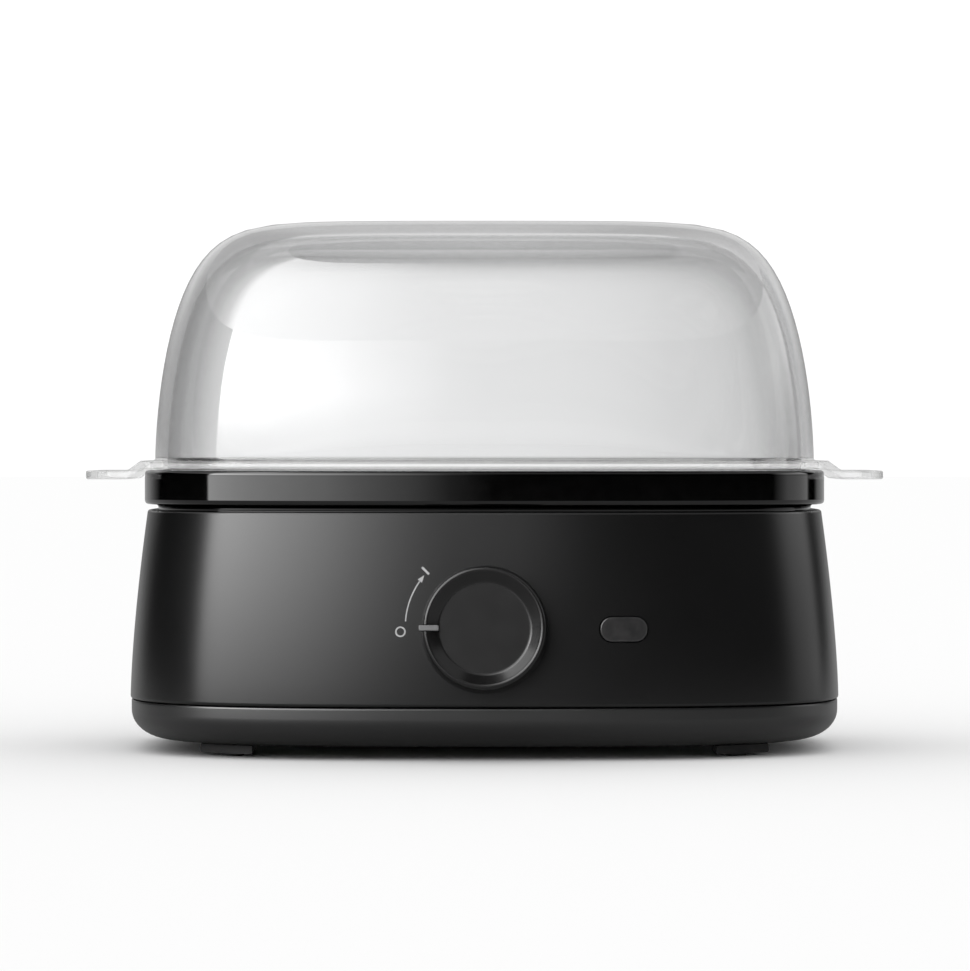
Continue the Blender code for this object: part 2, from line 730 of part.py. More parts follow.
def make_egg_tray():
    """A plate with six egg holes, a skirt that stands on the heating plate and two grips."""
    skirt_half = TRAY_HALF - 0.0018
    levels = [(skirt_half, TRAY_UNDER_Z), (skirt_half, TRAY_BOTTOM_Z), (TRAY_HALF, TRAY_BOTTOM_Z)]
    levels.extend([(TRAY_HALF, TRAY_TOP_Z - 0.0008), (TRAY_HALF - 0.0008, TRAY_TOP_Z)])
    tray = place("egg_tray", stacked_solid("egg_tray", levels), "tray_black", body)
    for x, y in egg_places():
        collar = cylinder_mesh("egg_collar", EGG_RADIUS + 0.0016, 0.0680, TRAY_TOP_Z - 0.001, (x, y), 24)
        join(tray, place("egg_collar", collar, None, body))
    for x, y in egg_places():
        hole = cylinder_mesh("egg_hole", EGG_RADIUS, 0.060, 0.080, (x, y), 24)
        cut(tray, place("egg_hole", hole, None, body))
    for side in (-1, 1):
        tab = block_mesh("tray_tab", 0.0024, 0.022, TRAY_TOP_Z - 0.001, TAB_TOP_Z, (side * TAB_X, 0.0))
        join(tray, place("tray_tab", tab, None, body))
    return tray


def make_heating_plate():
    """A pressed steel pan: a sink over the element, a step for the tray and a flange."""
    levels = [(0.0500, SINK_Z), (0.0515, PLATE_FLOOR_Z), (0.0740, PLATE_FLOOR_Z)]
    levels.extend([(0.0775, PLATE_FLOOR_Z + 0.0012), (0.0788, 0.0600), (0.0794, 0.0660)])
    levels.extend([(0.0828, 0.0668), (0.0834, 0.0726), (0.0840, 0.0734), (0.0892, 0.0734)])
    plate = place("heating_plate", stacked_sheet("heating_plate", levels), "steel", body)
    thicken(plate, PLATE_SHEET, -1.0)
    for side in (-1, 1):
        at = (side * STUD_X, 0.0)
        top = PLATE_FLOOR_Z - PLATE_SHEET / 2
        shoulder = cylinder_mesh("stud_shoulder", 0.0034, SHIELD_Z + GAP, top, at, 16)
        thread = cylinder_mesh("stud_thread", STUD_RADIUS, STUD_END_Z, SHIELD_Z + 0.001, at, 12)
        join(plate, place("stud_shoulder", shoulder, None, body))
        join(plate, place("stud_thread", thread, None, body))


def make_plate_seal():
    """A silicone ring between the rim's ledge and the heating plate's flange."""
    levels = [(0.0893, 0.0708), (0.0893, 0.0723), (0.0852, 0.0723), (0.0852, 0.0708)]
    place("plate_seal", stacked_ring("plate_seal", levels), "silicone", body)


def arc_points(centre, radius, start, end, steps):
    for step in range(steps + 1):
        angle = radians(start + (end - start) * step / steps)
        yield (centre[0] + radius * cos(angle), centre[1] + radius * sin(angle))


def make_heating_element():
    """A tubular element: a rounded loop under the sink whose ends turn down through the shield."""
    radius = 0.0120
    x = ELEMENT_HALF_X - radius
    y = ELEMENT_HALF_Y - radius
    loop = []
    for centre, start in (((x, y), 90), ((x, -y), 0), ((-x, -y), -90), ((-x, y), -180)):
        loop.extend(arc_points(centre, radius, start, start - 90, 4))
    right = [(TERMINAL_X, ELEMENT_HALF_Y, z) for z in (0.0372, 0.0420, 0.0450)]
    right.append((TERMINAL_X + 0.0010, ELEMENT_HALF_Y, ELEMENT_Z - 0.0013))
    right.append((TERMINAL_X + 0.0032, ELEMENT_HALF_Y, ELEMENT_Z))
    left = [(-px, py, pz) for px, py, pz in reversed(right)]
    points = [*right, *((px, py, ELEMENT_Z) for px, py in loop), *left]
    tube("heating_element", points, ELEMENT_RADIUS, "zinc", body)
    for name, side in (("left", -1), ("right", 1)):
        top = 0.0372 - GAP
        profile = [(0.0, top), (0.0027, top), (0.0027, top - 0.0022), (0.0011, top - 0.0022)]
        profile.extend([(0.0011, TERMINAL_Z), (0.0, TERMINAL_Z)])
        at = (side * TERMINAL_X, ELEMENT_HALF_Y, 0.0)
        turned(f"element_terminal_{name}", profile, "ceramic_white", body, 14, at)


def make_thermostat():
    """A disc thermostat under the sink, its spring clip and its two blades."""
    top = SINK_Z - PLATE_SHEET - GAP
    profile = [(0.0, top), (THERMOSTAT_RADIUS - 0.0005, top), (THERMOSTAT_RADIUS, top - 0.0005)]
    profile.extend([(THERMOSTAT_RADIUS, top - 0.0028), (0.0068, top - 0.0028)])
    profile.extend([(0.0068, THERMOSTAT_Z), (0.0, THERMOSTAT_Z)])
    thermostat = turned("thermostat", profile, "ceramic_white", body, 24)
    blade = block_mesh("blade", 0.0300, 0.0048, THERMOSTAT_Z + 0.0006, THERMOSTAT_Z + 0.0014)
    join(thermostat, place("thermostat_blade", blade, None, body))

    clip = block_mesh("clip", 0.0080, 0.0200, SHIELD_Z + GAP, SHIELD_Z + 0.0010)
    bracket = place("thermostat_bracket", clip, "steel", body)
    riser = block_mesh("riser", 0.0050, 0.0060, SHIELD_Z + 0.0006, THERMOSTAT_Z - GAP)
    join(bracket, place("clip_riser", riser, None, body))


def make_thermal_fuse():
    """A thermal fuse with its leads, in a clip that spans down to the shield."""
    at = (FUSE_X, 0.0)
    z = FUSE_Z
    turn = (0.0, pi / 2, 0.0)
    bulb = cylinder_mesh("thermal_fuse", 0.0018, -0.0050, 0.0050, segments=14)
    fuse = place("thermal_fuse", bulb, "zinc", body, (*at, z), turn)
    lead = cylinder_mesh("fuse_lead", 0.0006, -FUSE_REACH, FUSE_REACH, segments=8)
    join(fuse, place("fuse_lead", lead, None, body, (*at, z), turn))
    clip = block_mesh("fuse_clip", 0.0040, 0.0052, SHIELD_Z + GAP, z + 0.0008, at)
    holder = place("fuse_clip", clip, "steel", body)
    groove = cylinder_mesh("clip_groove", 0.0018 + GAP, -0.0060, 0.0060, segments=16)
    cut(holder, place("clip_groove", groove, None, body, (*at, z), turn))


def make_heat_shield():
    """A sheet on the plate's studs that keeps the heat off the parts below it."""
    low = SHIELD_Z - SHIELD_SHEET
    sheet = block_mesh("shield", 2 * SHIELD_HALF_X, 2 * SHIELD_HALF_Y, low, SHIELD_Z, round_by=0.012)
    shield = place("heat_shield", sheet, "steel", body)
    holes = [(side * STUD_X, 0.0, STUD_RADIUS + GAP) for side in (-1, 1)]
    holes.extend((side * TERMINAL_X, ELEMENT_HALF_Y, ELEMENT_RADIUS + 0.0008) for side in (-1, 1))
    holes.extend([(*SWITCHED_WIRE_HOLE, 0.0028), (*ELEMENT_WIRE_HOLE, 0.0028)])
    for x, y, radius in holes:
        hole = cylinder_mesh("shield_hole", radius, low - 0.002, SHIELD_Z + 0.002, (x, y), 16)
        cut(shield, place("shield_hole", hole, None, body))
    for name, side in (("left", -1), ("right", 1)):
        high = low - GAP - (EARTH_TAG_SHEET + GAP if side < 0 else 0.0)
        nut = cylinder_mesh("nut", 0.0037, high - 0.0024, high, (side * STUD_X, 0.0), 6)
        holder = place(f"shield_nut_{name}", nut, "zinc", body)
        bore = cylinder_mesh("nut_bore", STUD_RADIUS + GAP, 0.030, 0.044, (side * STUD_X, 0.0), 12)
        cut(holder, place("nut_bore", bore, None, body))
    tag_top = low - GAP
    tag_at = (-STUD_X + 0.0040, 0.0)
    tag = block_mesh("tag", 0.0160, 0.0070, tag_top - EARTH_TAG_SHEET, tag_top, tag_at, 0.002)
    earth_tag = place("earth_tag", tag, "zinc", body)
    eye = cylinder_mesh("tag_eye", STUD_RADIUS + GAP, 0.030, 0.044, (-STUD_X, 0.0), 12)
    cut(earth_tag, place("tag_eye", eye, None, body))


# ---------------------------------------------------------------- switch, board and wiring


def make_switch():
    """The rotary switch, held behind the wall on a plate by a nut and two screws."""
    plate = block_mesh("plate", 0.0420, 0.0170, -BRACKET_DEPTH - 0.0012, -BRACKET_DEPTH, round_by=0.003)
    bracket = place("switch_bracket", plate, "steel", knob_axis)
    cut(bracket, wall_hole(knob_axis, "neck_hole", 0.0, 0.0, 0.0051, -0.010, -0.004))
    for name, x in (("left", -BRACKET_SCREW_X), ("right", BRACKET_SCREW_X)):
        cut(bracket, wall_hole(knob_axis, "plate_hole", x, 0.0, SCREW_HOLE, -0.010, -0.004))
        at = (x, 0.0, -SWITCH_DEPTH)
        screw(f"switch_screw_{name}", 0.0048, "zinc", knob_axis, at, (pi, 0.0, 0.0), 0.0026, 0.0016)

    case = block_mesh("case", 0.0230, 0.0230, -SWITCH_BACK, -SWITCH_DEPTH, round_by=0.002)
    switch = place("switch_body", case, "switch_plastic", knob_axis)
    neck = cylinder_mesh("neck", 0.0048, -SWITCH_DEPTH - 0.001, -0.0038, segments=20)
    join(switch, place("switch_neck", neck, None, knob_axis))
    for x, y in SWITCH_BLADES:
        blade = block_mesh("blade", 0.0048, 0.0008, -SWITCH_BACK - 0.0065, -SWITCH_BACK + 0.001, (x, y))
        join(switch, place("switch_blade", blade, None, knob_axis))
    bore = wall_hole(knob_axis, "switch_bore", 0.0, 0.0, SHAFT_RADIUS + GAP, -0.0156, 0.0)
    cut(switch, bore)

    nut = cylinder_mesh("nut", 0.0075, -BRACKET_DEPTH + GAP, -0.0040, segments=6)
    holder = place("switch_nut", nut, "zinc", knob_axis)
    cut(holder, wall_hole(knob_axis, "switch_nut_bore", 0.0, 0.0, 0.0051, -0.010, 0.0))


def make_board():
    """The indicator's circuit board, on two posts behind the lens."""
    at = (0.0030, -0.0045)
    sheet = block_mesh("board", 0.0340, 0.0250, -BOARD_BACK, -BOARD_DEPTH, at, 0.001)
    board = place("circuit_board", sheet, "board_green", lens_frame)
    for index, (x, y) in enumerate(board_posts()):
        hole = wall_hole(lens_frame, "board_hole", x, y, SCREW_HOLE, -0.014, -0.008)
        cut(board, hole)
        name = f"board_screw_{'lower' if index == 0 else 'upper'}"
        at = (x, y, -BOARD_BACK - GAP)
        screw(name, 0.0076, "zinc", lens_frame, at, (pi, 0.0, 0.0), 0.0024, 0.0015)

    led_foot = -BOARD_DEPTH + GAP
    profile = [(0.0, -0.0049), (0.0013, -0.0052), (0.0022, -0.0061), (0.0025, -0.0072)]
    profile.extend([(0.0025, led_foot + 0.0009), (0.0029, led_foot + 0.0009), (0.0029, led_foot)])
    profile.append((0.0, led_foot))
    turned("indicator_led", profile, "led_clear", lens_frame, 16)

    back = -BOARD_BACK - GAP
    profile = [(0.0, back), (0.0050, back), (0.0050, back - 0.0045), (0.0010, back - 0.0045)]
    profile.extend([(0.0010, back - 0.0035), (0.0, back - 0.0035)])
    turned("buzzer", profile, "switch_plastic", lens_frame, 24, (-0.0045, -0.0055, 0.0))
    film = block_mesh("capacitor", 0.0120, 0.0050, back - 0.0085, back, (0.0100, -0.0025), 0.001)
    place("capacitor", film, "wire_brown", lens_frame)
    plug = block_mesh("connector", 0.0090, 0.0056, back - 0.0062, back, (0.0080, -0.0125))
    place("board_connector", plug, "ceramic_white", lens_frame)


def make_terminal_block():
    low = FLOOR_Z + COVER_WALL + GAP
    block = block_mesh("terminal_block", 0.0270, 0.0130, low, low + 0.0110, TERMINAL_BLOCK_AT, 0.001)
    terminals = place("terminal_block", block, "ceramic_white", body)
    for index in (-1, 0, 1):
        at = (TERMINAL_BLOCK_AT[0] + index * 0.0085, TERMINAL_BLOCK_AT[1])
        shaft = cylinder_mesh("screw_well", 0.0022, low + 0.0060, low + 0.014, at, 12)
        cut(terminals, place("screw_well", shaft, None, body))


def blade_end(index):
    """Just behind the tip of one of the switch's blades."""
    x, y = SWITCH_BLADES[index]
    return in_frame(knob_axis, (x, y, -SWITCH_BACK - 0.0065 - WIRE_END_GAP))


def make_wires():
    block_x, block_y = TERMINAL_BLOCK_AT
    front_y = block_y - 0.0065 - WIRE_END_GAP
    block_z = FLOOR_Z + COVER_WALL + 0.0055
    hole_x, hole_y = SWITCHED_WIRE_HOLE
    well_x, well_y = ELEMENT_WIRE_HOLE
    blade_x = 0.0150 + WIRE_END_GAP
    blade_z = THERMOSTAT_Z + 0.0010
    pin_z = TERMINAL_Z - WIRE_END_GAP
    connector = in_frame(lens_frame, (0.0080, -0.0125, -BOARD_BACK - 0.0065 - WIRE_END_GAP))

    live = [(block_x, front_y, block_z), (block_x - 0.0008, front_y - 0.005, 0.0104)]
    live.extend([(-0.0200, 0.0000, 0.0082), (-0.0160, -0.0240, 0.0100), (-0.0100, -0.0340, 0.0200)])
    live.append(blade_end(0))
    neutral = [(block_x + 0.0085, front_y, block_z), (block_x + 0.0085, front_y - 0.005, 0.0120)]
    neutral.extend([(0.0075, 0.0240, 0.0180), (TERMINAL_X, ELEMENT_HALF_Y, 0.0240)])
    neutral.append((TERMINAL_X, ELEMENT_HALF_Y, pin_z))
    switched = [blade_end(1), (0.0090, -0.0300, 0.0310), (0.0160, -0.0180, 0.0340)]
    switched.extend([(hole_x, hole_y - 0.0006, 0.0390), (hole_x, hole_y + 0.0010, 0.0430)])
    switched.extend([(0.0185, -0.0025, 0.0462), (blade_x, 0.0, blade_z)])
    fuse_end = FUSE_X - FUSE_REACH - WIRE_END_GAP
    fused = [(fuse_end, 0.0, FUSE_Z), (fuse_end - 0.0012, 0.0, FUSE_Z - 0.0002)]
    fused.extend([(fuse_end - 0.0014, 0.0036, 0.0460), (-0.0290, 0.0088, 0.0437)])
    fused.extend([(well_x, well_y, 0.0412), (-0.0150, 0.0110, 0.0340)])
    fused.extend([(-0.0085, 0.0150, 0.0270), (-TERMINAL_X, ELEMENT_HALF_Y, 0.0270)])
    fused.append((-TERMINAL_X, ELEMENT_HALF_Y, pin_z))
    earth = [(block_x - 0.0085, front_y, block_z), (block_x - 0.0100, front_y - 0.005, 0.0104)]
    earth.extend([(-0.0360, 0.0180, 0.0100), (-0.0500, 0.0040, 0.0180), (-0.0530, 0.0, 0.0300)])
    earth.append((-STUD_X + 0.0105, 0.0, SHIELD_Z - SHIELD_SHEET - EARTH_TAG_SHEET - 2 * GAP - 0.0001))
    board = [blade_end(2), (0.0120, -0.0350, 0.0240), (0.0250, -0.0380, 0.0200)]
    board.extend([(0.0400, -0.0420, 0.0205), connector])
    routes = {
        "live_wire": (live, "wire_brown"),
        "neutral_wire": (neutral, "wire_blue"),
        "switched_wire": (switched, "wire_white"),
        "element_wire": (fused, "wire_white"),
        "earth_wire": (earth, "wire_green"),
        "board_wire": (board, "wire_white"),
    }
    for name, (points, finish) in routes.items():
        tube(name, smooth_route(points), WIRE_RADIUS, finish, body)


def centre_on_origin():
    """Moves the body so that the middle of its whole depth is over the origin."""
    bpy.context.view_layer.update()
    graph = bpy.context.evaluated_depsgraph_get()
    depths = []
    for obj in PARTS.objects:
        if obj.type != "EMPTY":
            shape = obj.evaluated_get(graph)
            turn = shape.matrix_world
            depths.extend((turn @ vert.co).y for vert in shape.to_mesh().vertices)
            shape.to_mesh_clear()
    body.location.y = -(min(depths) + max(depths)) / 2


make_lid()
make_rim_band()
make_housing()
make_base_cover()
make_feet()
make_knob()
make_lens()
make_cord_grommet()
make_egg_tray()
make_heating_plate()
make_plate_seal()
make_heating_element()
make_thermostat()
make_thermal_fuse()
make_heat_shield()
make_switch()
make_board()
make_terminal_block()
make_wires()
centre_on_origin()
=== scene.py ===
from math import atan, copysign, cos, pi, radians, sin

import bmesh
import bpy
from mathutils import Euler, Matrix, Vector


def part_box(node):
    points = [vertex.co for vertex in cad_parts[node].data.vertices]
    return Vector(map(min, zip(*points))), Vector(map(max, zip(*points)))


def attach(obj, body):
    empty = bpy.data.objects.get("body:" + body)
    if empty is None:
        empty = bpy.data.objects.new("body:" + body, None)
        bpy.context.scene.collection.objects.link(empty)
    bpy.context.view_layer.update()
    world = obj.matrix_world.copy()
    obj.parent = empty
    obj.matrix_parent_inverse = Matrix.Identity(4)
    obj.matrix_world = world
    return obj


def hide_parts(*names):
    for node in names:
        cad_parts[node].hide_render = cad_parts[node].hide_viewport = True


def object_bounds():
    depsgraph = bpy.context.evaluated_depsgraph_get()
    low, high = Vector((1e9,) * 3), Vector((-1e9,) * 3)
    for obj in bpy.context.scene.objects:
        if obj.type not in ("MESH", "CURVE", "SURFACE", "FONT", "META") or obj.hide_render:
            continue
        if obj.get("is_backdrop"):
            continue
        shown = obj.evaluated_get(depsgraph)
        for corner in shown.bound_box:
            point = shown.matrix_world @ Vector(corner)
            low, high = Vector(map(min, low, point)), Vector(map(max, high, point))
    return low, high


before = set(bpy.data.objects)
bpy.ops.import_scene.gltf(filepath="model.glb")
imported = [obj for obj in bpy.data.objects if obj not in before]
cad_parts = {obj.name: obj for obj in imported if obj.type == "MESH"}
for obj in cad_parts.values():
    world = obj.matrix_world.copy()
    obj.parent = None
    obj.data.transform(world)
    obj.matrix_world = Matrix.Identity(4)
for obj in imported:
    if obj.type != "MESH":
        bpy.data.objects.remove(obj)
CAD_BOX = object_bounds()


# ------------------------------------------------------------------ camera, table and studio light
# The cooker stands on a white table in a white room. Seen in reflections the table is painted darker,
# a painted shade for the floor shadowed round the cooker. Round screens stand in for the soft lights:
# one set is only seen in reflections, and draws the sheen on the dark shells, brightest on the
# left. The other is only seen through the clear lid, as a white wall that is darker at its ends.

MIDDLE = (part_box("rim_band")[0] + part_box("rim_band")[1]) / 2
CAMERA_DISTANCE = 1.381
CAMERA_HEIGHT = 0.0846
CAMERA_LENS = 181.5
CAMERA_PITCH = 0.47
CAMERA_SIDE = 0.00014
CAMERA_REACH = 60.0
TABLE_RADIUS = 12.0
TABLE_TONE, TABLE_REFLECTED_SHADE = 0.92, 0.45
ROOM_STRENGTH = 1.07

bpy.context.scene.view_settings.view_transform = "Standard"

camera = bpy.data.objects.new("camera", bpy.data.cameras.new("camera"))
bpy.context.scene.collection.objects.link(camera)
camera.data.lens = CAMERA_LENS
camera.data.clip_end = CAMERA_REACH
camera.location = (CAMERA_SIDE, MIDDLE.y - CAMERA_DISTANCE, CAMERA_HEIGHT)
camera.rotation_euler = (radians(90.0 - CAMERA_PITCH), 0.0, 0.0)
bpy.context.scene.camera = camera


def stage_object(name, bm, shader_kind, seen_by, **constants):
    """A piece of the studio: a plain shader, seen only by the kinds of ray that are named."""
    mesh = bpy.data.meshes.new(name)
    bm.to_mesh(mesh)
    bm.free()
    obj = bpy.data.objects.new(name, mesh)
    bpy.context.scene.collection.objects.link(obj)
    material = bpy.data.materials.new(name)
    material.use_nodes = True
    nodes = material.node_tree.nodes
    nodes.clear()
    output = nodes.new("ShaderNodeOutputMaterial")
    shader = nodes.new(shader_kind)
    for key, value in constants.items():
        shader.inputs[key].default_value = value
    material.node_tree.links.new(shader.outputs[0], output.inputs[0])
    mesh.materials.append(material)
    for kind in ("camera", "diffuse", "glossy", "transmission", "volume_scatter", "shadow"):
        setattr(obj, "visible_" + kind, kind in seen_by)
    obj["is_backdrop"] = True
    return obj


table = bmesh.new()
bmesh.ops.create_circle(table, cap_ends=True, segments=96, radius=TABLE_RADIUS)
table_seen_by = ("camera", "diffuse", "glossy", "transmission", "shadow")
table = stage_object("table", table, "ShaderNodeBsdfDiffuse", table_seen_by)
table_nodes = table.active_material.node_tree.nodes
# Glossy rays see the table in the darker tone: painted shade for the floor shadowed round the cooker,
# which the dark shells reflect.
table_tone = table_nodes.new("ShaderNodeMix")
table_tone.data_type = "RGBA"
table_tone.inputs[6].default_value = (*(TABLE_TONE,) * 3, 1.0)
table_tone.inputs[7].default_value = (*(TABLE_REFLECTED_SHADE,) * 3, 1.0)
in_reflections = table_nodes.new("ShaderNodeLightPath").outputs["Is Glossy Ray"]
table.active_material.node_tree.links.new(in_reflections, table_tone.inputs[0])
table_colour = table_nodes["Diffuse BSDF"].inputs["Color"]
table.active_material.node_tree.links.new(table_tone.outputs[2], table_colour)


SCREEN_GROWTH = 2.4
SCREEN_RADIUS, SCREEN_SIDES = 3.0, 90
REFLECTED_TOP, WALL_TOP = 6.8, 3.4
SKY_RADIUS, SKY_FOOT = 2.9, 1.5


def round_screen(name, radius, low, high, seen_by, stops, growth):
    """An upright screen all round the table. Its glow is set by stops of (bearing, strength), the
    bearing in degrees to the left of the camera, and grows by stops of (level, share) upwards."""
    bm = bmesh.new()
    bmesh.ops.create_cone(bm, segments=SCREEN_SIDES, radius1=radius, radius2=radius, depth=high - low)
    bmesh.ops.translate(bm, vec=(0.0, 0.0, (low + high) / 2), verts=bm.verts)
    obj = stage_object(name, bm, "ShaderNodeEmission", seen_by)
    nodes, links = obj.active_material.node_tree.nodes, obj.active_material.node_tree.links
    place = nodes.new("ShaderNodeTexCoord")
    opposite = nodes.new("ShaderNodeMapping")
    opposite.inputs["Scale"].default_value = (-1.0, -1.0, 1.0)
    split = nodes.new("ShaderNodeSeparateXYZ")
    angle = nodes.new("ShaderNodeMath")
    angle.operation = "ARCTAN2"
    share = nodes.new("ShaderNodeMath")
    share.operation = "MULTIPLY_ADD"
    share.inputs[1].default_value = 0.5 / pi
    share.inputs[2].default_value = 0.5
    links.new(place.outputs["Object"], opposite.inputs[0])
    links.new(opposite.outputs[0], split.inputs[0])
    links.new(split.outputs["X"], angle.inputs[0])
    links.new(split.outputs["Y"], angle.inputs[1])
    links.new(angle.outputs[0], share.inputs[0])
    ramp = nodes.new("ShaderNodeValToRGB")
    peak = max(strength for _, strength in stops)
    while len(ramp.color_ramp.elements) < len(stops):
        ramp.color_ramp.elements.new(0.5)
    for element, (bearing, strength) in zip(ramp.color_ramp.elements, stops):
        element.position = 0.5 + bearing / 360.0
        element.color = (*(strength / peak,) * 3, 1.0)
    height = nodes.new("ShaderNodeFloatCurve")
    curve = height.mapping.curves[0]
    while len(curve.points) < len(growth):
        curve.points.new(0.5, 0.5)
    for point, (level, share_of_peak) in zip(curve.points, growth):
        point.location = (level, share_of_peak)
        point.handle_type = "VECTOR"
    height.mapping.update()
    level = nodes.new("ShaderNodeMath")
    level.operation = "DIVIDE"
    level.inputs[1].default_value = high
    full = nodes.new("ShaderNodeMath")
    full.operation = "MULTIPLY"
    full.inputs[1].default_value = peak * SCREEN_GROWTH
    links.new(height.outputs[0], full.inputs[0])
    gain = nodes.new("ShaderNodeMath")
    gain.operation = "MULTIPLY"
    links.new(split.outputs["Z"], level.inputs[0])
    links.new(level.outputs[0], height.inputs["Value"])
    links.new(full.outputs[0], gain.inputs[1])
    links.new(share.outputs[0], ramp.inputs[0])
    links.new(ramp.outputs[0], gain.inputs[0])
    links.new(gain.outputs[0], nodes["Emission"].inputs["Strength"])


# Stops of (bearing, strength): the lights low down, and the dimmer sky above them.
GLOW = (
    (-180.0, 0.4), (-165.0, 0.5), (-146.0, 0.4), (-138.0, 0.0), (-127.0, 0.0), (-124.0, 1.2),
    (-114.0, 1.05), (-97.0, 0.95), (-90.0, 0.5), (-82.0, 0.0), (0.0, 0.0), (1.3, 0.4), (2.6, 0.77),
    (4.5, 1.2), (6.9, 1.53), (9.9, 1.95), (13.6, 2.44), (18.1, 3.1), (29.8, 4.04), (47.0, 5.2),
    (71.0, 6.7), (71.6, 0.0), (128.0, 0.0), (142.0, 0.35), (150.0, 0.5), (165.0, 0.5), (180.0, 0.4),
)
SKY = (
    (-180.0, 0.5), (-138.0, 0.5), (-90.0, 0.6), (0.0, 0.5), (4.5, 1.4), (9.9, 2.4), (18.1, 3.7),
    (29.8, 4.8), (47.0, 6.1), (71.0, 7.8), (80.0, 2.0), (90.0, 1.0), (128.0, 0.5), (180.0, 0.5),
)
# Stops of (level, share): how the lights grow upwards, and the same strength at every level.
GROWTH = (
    (0.0, 0.37), (0.015, 0.37), (0.025, 0.22), (0.06, 0.35), (0.125, 0.85), (0.28, 0.62),
    (0.5, 0.5), (1.0, 0.5),
)
LEVEL = ((0.0, 1.0 / SCREEN_GROWTH), (1.0, 1.0 / SCREEN_GROWTH))
round_screen("reflected_lights", SCREEN_RADIUS, 0.0, REFLECTED_TOP, ("glossy",), GLOW, GROWTH)
round_screen("reflected_sky", SKY_RADIUS, SKY_FOOT, REFLECTED_TOP, ("glossy",), SKY, LEVEL)
# Stops of (bearing, strength): the wall that shows through the lid.
BEHIND = (
    (-180.0, 0.90), (-178.0, 0.86), (-176.5, 0.80), (-175.0, 0.75), (-171.0, 0.73), (-160.0, 0.82),
    (-150.0, 0.97), (100.0, 0.97), (120.0, 0.68), (160.0, 0.68), (172.0, 0.88), (180.0, 0.90),
)
round_screen("seen_through_lid", SCREEN_RADIUS, 0.0, WALL_TOP, ("transmission",), BEHIND, LEVEL)

world = bpy.data.worlds.new("white_room")
bpy.context.scene.world = world
world.use_nodes = True
world.node_tree.nodes["Background"].inputs["Color"].default_value = (1.0, 1.0, 1.0, 1.0)
world.node_tree.nodes["Background"].inputs["Strength"].default_value = ROOM_STRENGTH
world.cycles_visibility.glossy = False


# ------------------------------------------------------------------ base cover
# The bottom of the case is a shallow moulded dish with a round lower edge. Four wells take the
# screws from below, and a row of slots in its floor lets air in under the heating parts.

PLAN_POWER = 3.1
PLAN_SEGMENTS = 224
BAND_HALF = (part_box("rim_band")[1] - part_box("rim_band")[0]) / 2
DEPTH_LESS = BAND_HALF.x - BAND_HALF.y
CAP_HALF = 0.030
SMOOTH_TURN = 12.0
HOLD = 0.0003


def half_depth(half_x):
    """Every shell's half depth is its half width less one constant."""
    return half_x - DEPTH_LESS


def eased(points, reach, steps=4):
    """An outline with its corners rounded off, no further than reach along each side, and with a
    point just beyond each rounding, which holds the flat sides flat."""
    out = [tuple(points[0])]
    for before, corner, after in zip(points, points[1:], points[2:]):
        before, corner, after = Vector(before), Vector(corner), Vector(after)
        back, ahead = before - corner, after - corner
        if (-back).angle(ahead) < radians(SMOOTH_TURN):
            out.append(corner[:])
            continue
        start = corner + back.normalized() * min(reach, back.length * 0.45)
        end = corner + ahead.normalized() * min(reach, ahead.length * 0.45)
        out.append((start + back.normalized() * min(HOLD, back.length * 0.05))[:])
        for step in range(steps + 1):
            share = step / steps
            spot = start * (1 - share) ** 2 + corner * 2 * share * (1 - share) + end * share**2
            out.append(spot[:])
        out.append((end + ahead.normalized() * min(HOLD, ahead.length * 0.05))[:])
    out.append(tuple(points[-1]))
    return out


def grow_edges(bm, edges, old, new):
    """Extrudes an outline from one (half width, height) level to the next."""
    grown = bmesh.ops.extrude_edge_only(bm, edges=edges)["geom"]
    verts = [item for item in grown if isinstance(item, bmesh.types.BMVert)]
    ratio = (new[0] / old[0], half_depth(new[0]) / half_depth(old[0]), 1.0)
    bmesh.ops.scale(bm, vec=ratio, verts=verts)
    bmesh.ops.translate(bm, vec=(0.0, 0.0, new[1] - old[1]), verts=verts)
    rim = set(verts)
    edges = (item for item in grown if isinstance(item, bmesh.types.BMEdge))
    return [edge for edge in edges if rim.issuperset(edge.verts)]


def shell(levels, ring=False, segments=PLAN_SEGMENTS):
    """A body in the cooker's plan shape through (half width, height) levels. It is capped at both
    ends, or as a ring its last level joins its first."""
    bm = bmesh.new()
    outline = bmesh.ops.create_circle(bm, cap_ends=not ring, segments=segments, radius=1.0)
    half_x, z = levels[0]
    for vert in outline["verts"]:
        x, y = vert.co.x, vert.co.y
        vert.co.x = half_x * copysign(abs(x) ** (2 / PLAN_POWER), x)
        vert.co.y = half_depth(half_x) * copysign(abs(y) ** (2 / PLAN_POWER), y)
        vert.co.z = z
    first = edges = bm.edges[:]
    for old, new in zip(levels, levels[1:]):
        edges = grow_edges(bm, edges, old, new)
    if ring:
        bmesh.ops.bridge_loops(bm, edges=first + edges)
    else:
        bmesh.ops.edgeloop_fill(bm, edges=edges)
    bmesh.ops.translate(bm, vec=(0.0, MIDDLE.y, 0.0), verts=bm.verts)
    bmesh.ops.recalc_face_normals(bm, faces=bm.faces)
    return bm


def cylinder(radius, low, high, x=0.0, y=0.0, segments=64, edge=0.0):
    """An upright cylinder, its two ends' edges rounded off by edge."""
    bm = bmesh.new()
    size = dict(radius1=radius, radius2=radius, depth=high - low, segments=segments)
    bmesh.ops.create_cone(bm, cap_ends=True, **size)
    bmesh.ops.translate(bm, vec=(x, y, (low + high) / 2), verts=bm.verts)
    if edge:
        ends = [item for item in bm.edges if abs(item.verts[0].co.z - item.verts[1].co.z) < 1e-7]
        round_off(bm, ends, edge, 4)
    return bm


def round_off(bm, edges, offset, segments):
    bevel = dict(offset=offset, segments=segments, profile=0.5, affect="EDGES", material=-1)
    bmesh.ops.bevel(bm, geom=edges, **bevel)


